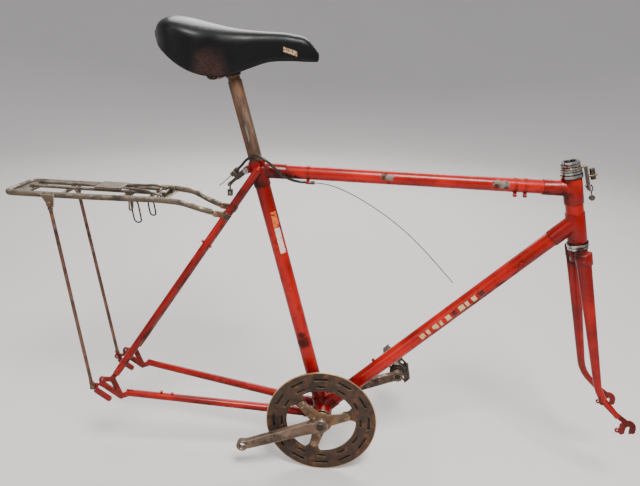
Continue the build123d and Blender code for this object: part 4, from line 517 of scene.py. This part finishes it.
# ---------------------------------------------------------------- fork
# Pressed crown, tapered oval blades and forged tips, brazed and enamelled. The crown's top and the
# blades' shoulders are browned where grease and dust sat under the lower race.
crown_coat = red_enamel("enamel_crown", chips=0.85, grime=0.70, dark=0.10, edge=0.15,
                        spots=[((0.889, -0.030, 0.352), 0.018), ((0.899, 0.0, 0.356), 0.024),
                               ((0.885, 0.030, 0.350), 0.020)])
softened("fork_crown", 0.0009, crown_coat)
blade_coat = red_enamel("enamel_blades", chips=0.28, grime=0.36, dark=0.22,
                        spots=[((0.905, 0.030, 0.330), 0.022)])
nodes["fork_blades"].data.materials[0] = blade_coat
softened("fork_tips", 0.0008, plate_coat)

# ---------------------------------------------------------------- chromed steel
# Headset cups, races, lock nut and steerer, and the binder bolt: turned steel, bright chrome that
# has dulled, with brown pits, a dark film in patches, and painted shade with dirt in the seams between
# pieces.
CHROME = (0.50, 0.485, 0.46)
FILM = (0.045, 0.038, 0.030)
PIT_BROWN = (0.055, 0.030, 0.016)
SEAM_SHADE_AND_DIRT = (0.012, 0.008, 0.006)
SEAM_HALF, SEAM_CORE = 0.0013, 0.0005
HEAD_AXIS = Vector((-0.25038, 0, 0.96815))
HEAD_TOP = Vector((0.86538, 0, 0.48403))
# Where the headset's pieces meet, in metres up the head tube's axis from the head tube's top.
HEADSET_SEAMS = (0.0006, 0.0076, 0.0132, 0.0205, 0.0262, -0.1246, -0.1312, -0.1368)


def pitted_chrome(name, pits, film, start, axis, seams):
    """Chrome under a dull film and brown pits, each from 0 to 1, with painted shade and dirt in the
    seams: it lies where the height up the axis from start is within SEAM_HALF of one of seams, and is
    full within SEAM_CORE."""
    plating = Finish(name, IOR=2.2)
    rounded, rim = plating.edges(0.0006)
    cloud = plating.noise(60.0, 6.0, 0.7)
    pit = plating.noise(520.0, 5.0, 0.7).between(0.66 - 0.16 * pits, 0.72 - 0.16 * pits)
    pit = pit * plating.noise(45.0, 3.0).between(0.40, 0.60)
    dull = (cloud + film * 0.2).between(0.48, 0.70)
    groove = (1 - rim) * plating.noise(26.0, 5.0, 0.7).between(0.44, 0.60)
    colour = plating.colours((dull * 0.7).top(groove * 0.55), CHROME, FILM)
    away = plating.vector("SUBTRACT", plating.place, start)
    height = plating.vector("DOT_PRODUCT", away, axis, output=1)
    wander = plating.noise(110.0, 4.0, 0.6) * 0.0016 - 0.0008
    # Painted shade with dirt: a dark band round each place where two headset pieces meet.
    for at in seams:
        seam_shade_and_dirt = abs(height + wander - at).between(SEAM_HALF, SEAM_CORE)
        colour = plating.colours(seam_shade_and_dirt * 0.93, colour, SEAM_SHADE_AND_DIRT)
    colour = plating.colours(pit, colour, PIT_BROWN)
    return plating.done(Base_Color=colour, Metallic=1 - pit * 0.8,
                        Roughness=0.10 + dull * 0.26 + pit * 0.45,
                        Normal=plating.bumped(cloud * 0.1 - pit, 0.00012, rounded))


bright = pitted_chrome("chrome_headset", pits=0.45, film=0.20,
                       start=HEAD_TOP, axis=HEAD_AXIS, seams=HEADSET_SEAMS)
for name in ("headset_cups", "headset_races", "lock_nut", "steerer", "binder_bolt"):
    nodes[name].data.materials[0] = bright
# The cable clips were sprayed with the frame, and their edges rubbed to bare steel.
clip_paint = red_enamel("enamel_clips", chips=0.8, grime=0.75, dark=0.2, edge=0.2)
nodes["cable_clips"].data.materials[0] = clip_paint

# ---------------------------------------------------------------- rusted and greasy steel
# Plated steel parts whose plating has gone: an even brown skin of rust and old grease, with the
# bare metal rubbed bright on edges and in patches, and pale metal on the upper faces as painted top
# light.
RUST_DARK = (0.016, 0.0085, 0.0055)
RUST_ORANGE = (0.24, 0.085, 0.022)
WORN_EDGE = (0.50, 0.36, 0.20)
WORN_METAL = (0.30, 0.26, 0.22)
GUARD_RIM = (0.1108, 0.1116)      # radii between which the guard's rolled rim begins


def round_rim(skin, centre, low, high):
    """Distance from the axis along Y through a centre, taken from 0 at low to 1 at high."""
    flat = skin.vector("MULTIPLY", skin.place, (1, 0, 1))
    return skin.vector("DISTANCE", flat, centre, output=1).between(low, high)


def rusty_steel(name, dark, brown, orange, shine, edge, edge_tint=WORN_EDGE,
                metal=WORN_METAL, reach=0.0010, stretch=None, crown=0.10, rolled=None):
    """Dark to brown by noise, then orange bloom, bare metal and bright edges, each where its own noise
    passes a limit. orange, shine and edge run from 0 to 1, crown lays bare metal on the upper faces as
    painted top light, marks stretch along a direction, and a rolled rim is bright if its (centre, low,
    high) is given."""
    skin = Finish(name, Specular_IOR_Level=0.4)
    rounded, rim = skin.edges(reach)
    place = skin.drawn_out(stretch, 0.22) if stretch else skin.place
    blotch = skin.noise(34.0, 7.0, 0.68, place)
    grain = skin.noise(260.0, 4.0, 0.7, place)
    up = skin.upward()
    colour = skin.colours(blotch.between(0.36, 0.62), dark, brown)
    bloom = (skin.noise(75.0, 6.0, 0.7, place) + orange * 0.22).between(0.60, 0.80)
    colour = skin.colours(bloom * (0.35 + 0.6 * orange), colour, RUST_ORANGE)
    # Painted top light: crown adds pale bare metal on upper faces, besides the rubbed patches from
    # noise and shine.
    rub_and_top_light = skin.noise(48.0, 6.0, 0.72, place) + up * crown + shine * 0.26 - bloom * 0.15
    rubbed_and_top_lit = rub_and_top_light.between(0.62, 0.90)
    colour = skin.colours(rubbed_and_top_lit, colour, metal)
    worn = rim * (grain + edge * 0.5).between(0.52, 0.75)
    if rolled:
        worn = worn.top(round_rim(skin, *rolled) * (grain + edge * 0.5).between(0.45, 0.65))
    colour = skin.colours(worn, colour, edge_tint)
    bare = rubbed_and_top_lit.top(worn)
    height = grain * 0.6 + blotch * 0.5 - bare * 0.4
    return skin.done(Base_Color=colour, Metallic=bare * 0.85,
                     Roughness=0.62 - bare * 0.32 + bloom * 0.15,
                     Normal=skin.bumped(height, 0.00022, rounded))


guard_skin = rusty_steel(
    "steel_guard", RUST_DARK, (0.048, 0.022, 0.012), orange=0.42, shine=0.05, edge=0.60,
    edge_tint=(0.46, 0.29, 0.13), reach=0.0011, rolled=(BB_CENTRE, *GUARD_RIM))
softened("chain_guard", 0.0004, guard_skin)
# Near black chainring: old grease, and painted shade so that the guard's slots read dark.
ring_grease_and_shade = rusty_steel("steel_chainring_grease_and_shade", (0.0012, 0.001, 0.001), (0.004, 0.003, 0.002),
                        orange=0.0, shine=-0.5, edge=0.0)
nodes["chainring"].data.materials[0] = ring_grease_and_shade
arm_skin = rusty_steel(
    "steel_cranks", (0.032, 0.019, 0.012), (0.12, 0.070, 0.044), orange=0.22, shine=0.50, edge=0.9,
    edge_tint=(0.66, 0.54, 0.40), metal=(0.30, 0.21, 0.15), reach=0.0020)
for name in ("crank_right", "crank_left"):
    softened(name, 0.0011, arm_skin, segments=3)
tan_skin = rusty_steel("steel_bolts", (0.05, 0.028, 0.016), (0.19, 0.11, 0.055),
                       orange=0.45, shine=0.45, edge=0.9)
for name in ("chainring_bolts", "cotters", "rack_screws", "spider"):
    nodes[name].data.materials[0] = tan_skin
dark_skin = rusty_steel("steel_greasy", (0.008, 0.006, 0.005), (0.030, 0.018, 0.012),
                        orange=0.25, shine=0.25, edge=0.7)
for name in ("spindle", "bottom_bracket_cups", "bearing_cages", "pedal_axle", "pedal_barrel",
             "pedal_cage", "rear_hanger", "rail_clips", "saddle_clip_band"):
    nodes[name].data.materials[0] = dark_skin
hanger_skin = rusty_steel("steel_hanger", (0.016, 0.010, 0.006), (0.075, 0.045, 0.026),
                          orange=0.25, shine=0.50, edge=0.9)
nodes["front_hanger"].data.materials[0] = hanger_skin
post_skin = rusty_steel(
    "steel_post", (0.045, 0.022, 0.013), (0.15, 0.075, 0.040), orange=0.55, shine=0.40, edge=0.4,
    metal=(0.42, 0.36, 0.30), stretch=SEAT_AXIS)
for name in ("seat_post", "saddle_rails"):
    nodes[name].data.materials[0] = post_skin
strut_skin = rusty_steel("steel_struts", (0.035, 0.015, 0.011), (0.13, 0.056, 0.036),
                         orange=0.50, shine=0.30, edge=0.9, metal=(0.36, 0.29, 0.25))
for name in ("rack_struts", "rack_clamps"):
    nodes[name].data.materials[0] = strut_skin
small_skin = rusty_steel("steel_cable_parts", (0.006, 0.005, 0.005), (0.028, 0.020, 0.015),
                         orange=0.10, shine=0.40, edge=0.8)
for name in ("front_barrel", "front_link", "rear_barrel", "rear_yoke"):
    nodes[name].data.materials[0] = small_skin

# ---------------------------------------------------------------- rack
# A carrier of bent tube and wire, brazed together and clamped to the seat stays. Its plating has
# gone: dull olive-brown steel, rubbed bright in places, with a strong painted highlight of pale metal
# along its upper faces.
SPRING_R = 0.0052                 # coil's radius, to the middle of its wire
SPRING_WIRE_R = 0.0008
SPRING_TURNS = 5.5
SPRING_INNER_Y = 0.0180
SPRING_WIDTH = 0.0098
SPRING_POINTS = 160
HINGE_X, HINGE_Z = 0.116507, 0.4095
HOOK_WIRE_R = 0.0015
HOOK_TOP_Z = 0.399
HOOK_LEAN = 0.16                  # how far a hook leans backwards for each metre up
HOOK_POINTS = 72
OFF_AXIS = (0.31, 0.83, 0.46)     # any direction that no wire here runs along
# Each hook's name, X, Y, length and half width.
HOOKS = (("long_hook", 0.0700, -0.036, 0.042, 0.0070), ("short_hook", 0.0985, -0.030, 0.028, 0.0056))
# crown=0.24 gives the rack a strong painted highlight of pale metal on its upper faces.
rack_skin = rusty_steel(
    "steel_rack", (0.026, 0.019, 0.012), (0.090, 0.062, 0.038), orange=0.14, shine=0.16, edge=0.9,
    edge_tint=(0.62, 0.55, 0.45), metal=(0.40, 0.345, 0.27), reach=0.0020, crown=0.24)
for name in ("rack_rails", "rack_cross_bars", "rack_inner_rails", "rack_rear_plate",
             "rack_front_plate", "rack_clip", "rack_loop"):
    nodes[name].data.materials[0] = rack_skin


def wire_along(line, radius, sides=10):
    """Tube round a line of points: each ring lies across the line's run, and a ring's points are
    line + radius * (cos t * side + sin t * lift), with side and lift square to the run."""
    run = np.gradient(line, axis=0)
    run /= np.linalg.norm(run, axis=1, keepdims=True)
    side = np.cross(run, OFF_AXIS)
    side /= np.linalg.norm(side, axis=1, keepdims=True)
    lift = np.cross(run, side)
    t = np.linspace(0, 2 * np.pi, sides, endpoint=False)[None, :, None]
    return line[:, None] + radius * (np.cos(t) * side[:, None] + np.sin(t) * lift[:, None])


# Two torsion springs on the clip's hinge: a helix of SPRING_TURNS turns round the hinge's axis.
turns = np.linspace(0, 1, SPRING_POINTS)
angle = 2 * np.pi * SPRING_TURNS * turns
for side, name in ((-1, "clip_spring_right"), (1, "clip_spring_left")):
    coil = np.stack([HINGE_X + SPRING_R * np.cos(angle),
                     side * (SPRING_INNER_Y + SPRING_WIDTH * turns),
                     HINGE_Z + SPRING_R * np.sin(angle)], -1)
    spring_mesh = grid_mesh(name, wire_along(coil, SPRING_WIRE_R), around=True, caps=True)
    spring = piece_of(name, spring_mesh, small_skin)
    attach(spring, "frame")

# A long closed hook of 3 mm wire hangs under the rack, and a short one beside it. Each is a loop of
# two straight sides, where the clipped sine stands still, and two half rounds.
for name, x, y, long, wide in HOOKS:
    t = np.linspace(0, 2 * np.pi, HOOK_POINTS, endpoint=False)
    straight = long / 2 - wide
    rise = np.clip(np.sin(t) * 3, -1, 1) * straight + wide * np.sin(t)
    loop_line = np.stack([x + wide * np.cos(t) - HOOK_LEAN * rise, y + 0 * t,
                          HOOK_TOP_Z - long / 2 + rise], -1)
    hook_mesh = grid_mesh(name, wire_along(loop_line, HOOK_WIRE_R), around=True, loop=True)
    hook = piece_of(name, hook_mesh, small_skin)
    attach(hook, "frame")

# ---------------------------------------------------------------- brake housing
# The outer sleeve of the rear brake's cable: lined spiral wire in smooth black plastic, browned and
# rubbed, with a crimped steel cap on its front end, at the top tube's clip.
HOSE_BLACK = (0.006, 0.005, 0.005)
HOSE_SCUFF = (0.055, 0.033, 0.020)
CAP_START = (0.3890, -0.007317, 0.446926)
CAP_PROFILE = [(0, 0.0027), (0, 0.0031), (0.0008, 0.0034), (0.0060, 0.0034), (0.0066, 0.0031),
               (0.0072, 0.0034), (0.0118, 0.0034), (0.0124, 0.0031), (0.0124, 0.0009),
               (0.0100, 0.0009)]
hose = Finish("housing_plastic")
scuff = hose.noise(90.0, 5.0, 0.7).between(0.50, 0.72)
nodes["brake_housing"].data.materials[0] = hose.done(
    Base_Color=hose.colours(scuff * 0.7, HOSE_BLACK, HOSE_SCUFF), Roughness=0.30 + scuff * 0.35,
    Normal=hose.bumped(hose.noise(700.0, 2.0), 0.00008))


def turned(profile, start, along, sides=28):
    """Turned shape: each (distance, radius) of the profile gives a ring of points
    start + distance * along + radius * (cos t * side + sin t * lift), square to the axis."""
    along = np.array(along) / np.linalg.norm(along)
    side = np.cross(along, (0.2, 0.9, 0.3))
    side /= np.linalg.norm(side)
    lift = np.cross(along, side)
    far, wide = np.array(profile).T[:, :, None, None]
    t = np.linspace(0, 2 * np.pi, sides, endpoint=False)[None, :, None]
    return np.array(start) + far * along + wide * (np.cos(t) * side + np.sin(t) * lift)


cap_mesh = grid_mesh("housing_cap", turned(CAP_PROFILE, CAP_START, (1, 0, 0)), around=True)
end_cap = piece_of("housing_cap", cap_mesh, small_skin)
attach(end_cap, "frame")

# ---------------------------------------------------------------- saddle
# Smooth black vinyl drawn over foam on a moulded base, in one crowned closed skin: broad behind,
# narrow in front, with a rolled hem. It is dusty brown low on its side and rubbed at the rear, its
# upper faces carry a pale bluish painted sheen with some dust, and a worn plain gilt strip lies along
# the nose.
SADDLE_REAR = 0.115007
SADDLE_LONG = 0.281
SADDLE_HALF = 0.076
SKIN = 0.0032                     # skirt's thickness
FOAM = 0.0112                     # crown's thickness over the base
HEM_LIP = 0.0012                  # underside's least height over the hem
HEM_BEAD = 0.0006                 # how far the hem's rolled bead stands out
REAR_DEEP, NOSE_DEEP = 0.0035, 0.0030
END_RINGS = 8
CROWN_SHARE = 0.62                # part of the ring's run, each way, that is crown
SHOULDER_SHARE = 0.62             # shoulder's place between hem and crest
CROWN_POWER = 0.72                # under 1, it makes the crown flatter on top
SKIRT_DRAW = 0.04
OUTER_POINTS, INNER_POINTS = 97, 65
# Stations from rear to nose: share of the length, half width as a share of SADDLE_HALF, and the
# heights of the crest and of the hem.
SHARES = (0.0, 0.035, 0.10, 0.18, 0.30, 0.42, 0.54, 0.68, 0.84, 0.945, 1.0)
HALVES = (0.32, 0.60, 0.90, 1.0, 0.92, 0.62, 0.40, 0.29, 0.235, 0.18, 0.085)
CRESTS = (0.7045, 0.7178, 0.7268, 0.7263, 0.7203, 0.7138, 0.7098, 0.7083, 0.7060, 0.6970, 0.6790)
HEMS = (0.6910, 0.6790, 0.6650, 0.6490, 0.6340, 0.6313, 0.6423, 0.6563, 0.6613, 0.6613, 0.6618)


def smooth_through(at, xs, ys):
    """Cubic Hermite through (xs, ys) at the places given. With t from 0 to 1 over a span h, it is
    (2 t^3 - 3 t^2 + 1) y0 + (t^3 - 2 t^2 + t) h s0 + (3 t^2 - 2 t^3) y1 + (t^3 - t^2) h s1, where
    each slope s comes from the two neighbours."""
    xs, ys = np.array(xs), np.array(ys)
    slope = np.gradient(ys, xs)
    i = np.clip(np.searchsorted(xs, at) - 1, 0, len(xs) - 2)
    h = xs[i + 1] - xs[i]
    t = (at - xs[i]) / h
    return ((2 * t ** 3 - 3 * t ** 2 + 1) * ys[i] + (t ** 3 - 2 * t ** 2 + t) * h * slope[i]
            + (3 * t ** 2 - 2 * t ** 3) * ys[i + 1] + (t ** 3 - t ** 2) * h * slope[i + 1])


def saddle_ring(half, crest, hem, a, bead):
    """Half ring from hem to hem as a runs from -1 to 1. For |a| up to CROWN_SHARE it is the crown,
    y = half sin t and z = shoulder + (crest - shoulder) cos t ^ CROWN_POWER. Past it the skirt falls
    straight to the hem, draws in by SKIRT_DRAW down^2 and has a bell-shaped bead near its edge."""
    shoulder = hem + SHOULDER_SHARE * (crest - hem)
    t = np.clip(a / CROWN_SHARE, -1, 1) * np.pi / 2
    down = np.clip((np.abs(a) - CROWN_SHARE) / (1 - CROWN_SHARE), 0, 1)
    roll = bead * np.exp(-((down - 0.90) / 0.055) ** 2)
    y = half * np.sin(t) * (1 - SKIRT_DRAW * down ** 2) + np.sign(a) * roll
    z = np.where(down > 0, shoulder + (hem - shoulder) * down,
                 shoulder + (crest - shoulder) * np.clip(np.cos(t), 0, 1) ** CROWN_POWER)
    return y, z


# Rings lie closer together at the two ends. The underside is hollow over the base and rises to the
# hem's lip at both ends, by a smooth step.
share = np.concatenate([np.linspace(0, 0.10, 22)[:-1], np.linspace(0.10, 0.90, 92)[:-1],
                        np.linspace(0.90, 1, 20)])
half, crest, hem = (smooth_through(share, SHARES, row)[:, None] for row in (HALVES, CRESTS, HEMS))
half = half * SADDLE_HALF
over = np.clip((share - 0.03) / 0.07, 0, 1) * np.clip((0.93 - share) / 0.09, 0, 1)
over = (over * over * (3 - 2 * over))[:, None]
a_out = np.linspace(-1, 1, OUTER_POINTS)[None]
a_in = np.linspace(1, -1, INNER_POINTS)[None]
y_out, z_out = saddle_ring(half, crest, hem, a_out, HEM_BEAD)
inner_crest = hem + HEM_LIP + over * (crest - FOAM - hem - HEM_LIP)
y_in, z_in = saddle_ring(half - SKIN, inner_crest, hem + 0.0002, a_in, 0.0)
x = np.broadcast_to((SADDLE_REAR + SADDLE_LONG * share)[:, None],
                    (len(share), OUTER_POINTS + INNER_POINTS))
skin_points = np.stack([x, np.hstack([y_out, y_in]), np.hstack([z_out, z_in])], -1)


def rounded_end(ring, deep, outwards):
    """Rings from an end ring to a point: its offsets from its middle times cos t, moved outwards by
    deep * sin t, as t runs to a right angle."""
    t = np.linspace(0, np.pi / 2, END_RINGS + 1)[1:, None, None]
    middle = np.array([ring[0, 0], 0.0, (ring[:, 2].max() + ring[:, 2].min()) / 2])
    rings = middle + (ring - middle)[None] * np.maximum(np.cos(t), 1e-5)
    rings[..., 0] += outwards * deep * np.sin(t[..., 0])
    return rings


skin_points = np.concatenate([rounded_end(skin_points[0], REAR_DEEP, -1)[::-1], skin_points,
                              rounded_end(skin_points[-1], NOSE_DEEP, 1)])
VINYL = (0.0012, 0.0012, 0.0014)
VINYL_DUST_AND_SHEEN = (0.012, 0.014, 0.017)
DUST = (0.050, 0.019, 0.014)
DUST_PLACE = (0.226, -0.068, 0.646)
RUBBED = (0.12, 0.055, 0.035)
RUBBED_PLACE = (0.137, -0.030, 0.722)
GILT = (0.52, 0.36, 0.20)
GILT_WORN = (0.05, 0.022, 0.010)
STRIP_PLACE = (0.3500, 0, 0.6772)
STRIP_HALF_LONG, STRIP_HALF_HIGH = 0.0124, 0.0044
STRIP_FALL = 0.30                 # how far the strip falls for each metre ahead
vinyl = Finish("saddle_vinyl", Coat_Roughness=0.24, Specular_IOR_Level=0.24)
pores = vinyl.node("TexVoronoi", {"feature": "DISTANCE_TO_EDGE"},
                   {"Vector": vinyl.place, "Scale": 900.0})
crease = vinyl.noise(14.0, 6.0, 0.62, warp=0.8)
dust_gap = vinyl.vector("DISTANCE", vinyl.place, DUST_PLACE, output=1)
dusty = (dust_gap + vinyl.noise(40.0, 4.0) * 0.018).between(0.052, 0.022)
dusty = dusty * vinyl.noise(300.0, 4.0, 0.7).between(0.30, 0.62)
corner = vinyl.near(RUBBED_PLACE, 0.022, ragged=0.55, scale=70.0)
corner = corner * vinyl.noise(150.0, 5.0, 0.7).between(0.42, 0.60)
# Painted sheen with some dust: a pale bluish tint in patches on the upper faces.
dust_and_sheen = vinyl.upward().between(0.15, 0.95) * vinyl.noise(36.0, 5.0, 0.65).between(0.30, 0.70)
vinyl_colour = vinyl.colours(dust_and_sheen * 0.6, VINYL, VINYL_DUST_AND_SHEEN)
vinyl_colour = vinyl.colours(dusty * 0.8, vinyl_colour, DUST)
vinyl_colour = vinyl.colours(corner * 0.8, vinyl_colour, RUBBED)
strip_at = vinyl.vector("SUBTRACT", vinyl.place, STRIP_PLACE)
strip_x = vinyl.node("SeparateXYZ", {}, {0: strip_at}, "X")
strip_z = vinyl.node("SeparateXYZ", {}, {0: strip_at}, "Z") + strip_x * STRIP_FALL
facing_right = vinyl.node("SeparateXYZ", {}, {0: vinyl.facing}, "Y").between(-0.3, -0.6)
strip = (abs(strip_x).between(STRIP_HALF_LONG, 0.0116)
         * abs(strip_z).between(STRIP_HALF_HIGH, 0.0038) * facing_right)
gilt = vinyl.colours(vinyl.noise(420.0, 4.0, 0.7).between(0.40, 0.60), GILT_WORN, GILT)
vinyl_colour = vinyl.colours(strip, vinyl_colour, gilt)
vinyl_material = vinyl.done(
    Base_Color=vinyl_colour, Roughness=0.30 + dusty * 0.40 + corner * 0.30 + crease * 0.10,
    Coat_Weight=(1 - dusty) * 0.10,
    Normal=vinyl.bumped(pores.between(0.0, 0.25) * 0.3 + crease * 1.2, 0.00025))
cover = piece_of("saddle_cover", grid_mesh("saddle_cover", skin_points, around=True), vinyl_material)
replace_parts(cover, "saddle_pad")
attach(cover, "saddle")

# The moulded base under the foam, in dull black plastic.
BASE_DARK = (0.010, 0.010, 0.011)
BASE_PALE = (0.045, 0.040, 0.036)
base = Finish("base_plastic")
cloudy = base.noise(60.0, 4.0)
nodes["saddle_base"].data.materials[0] = base.done(
    Base_Color=base.colours(cloudy, BASE_DARK, BASE_PALE), Roughness=0.42 + cloudy * 0.25,
    Normal=base.bumped(base.noise(500.0, 2.0), 0.0001))
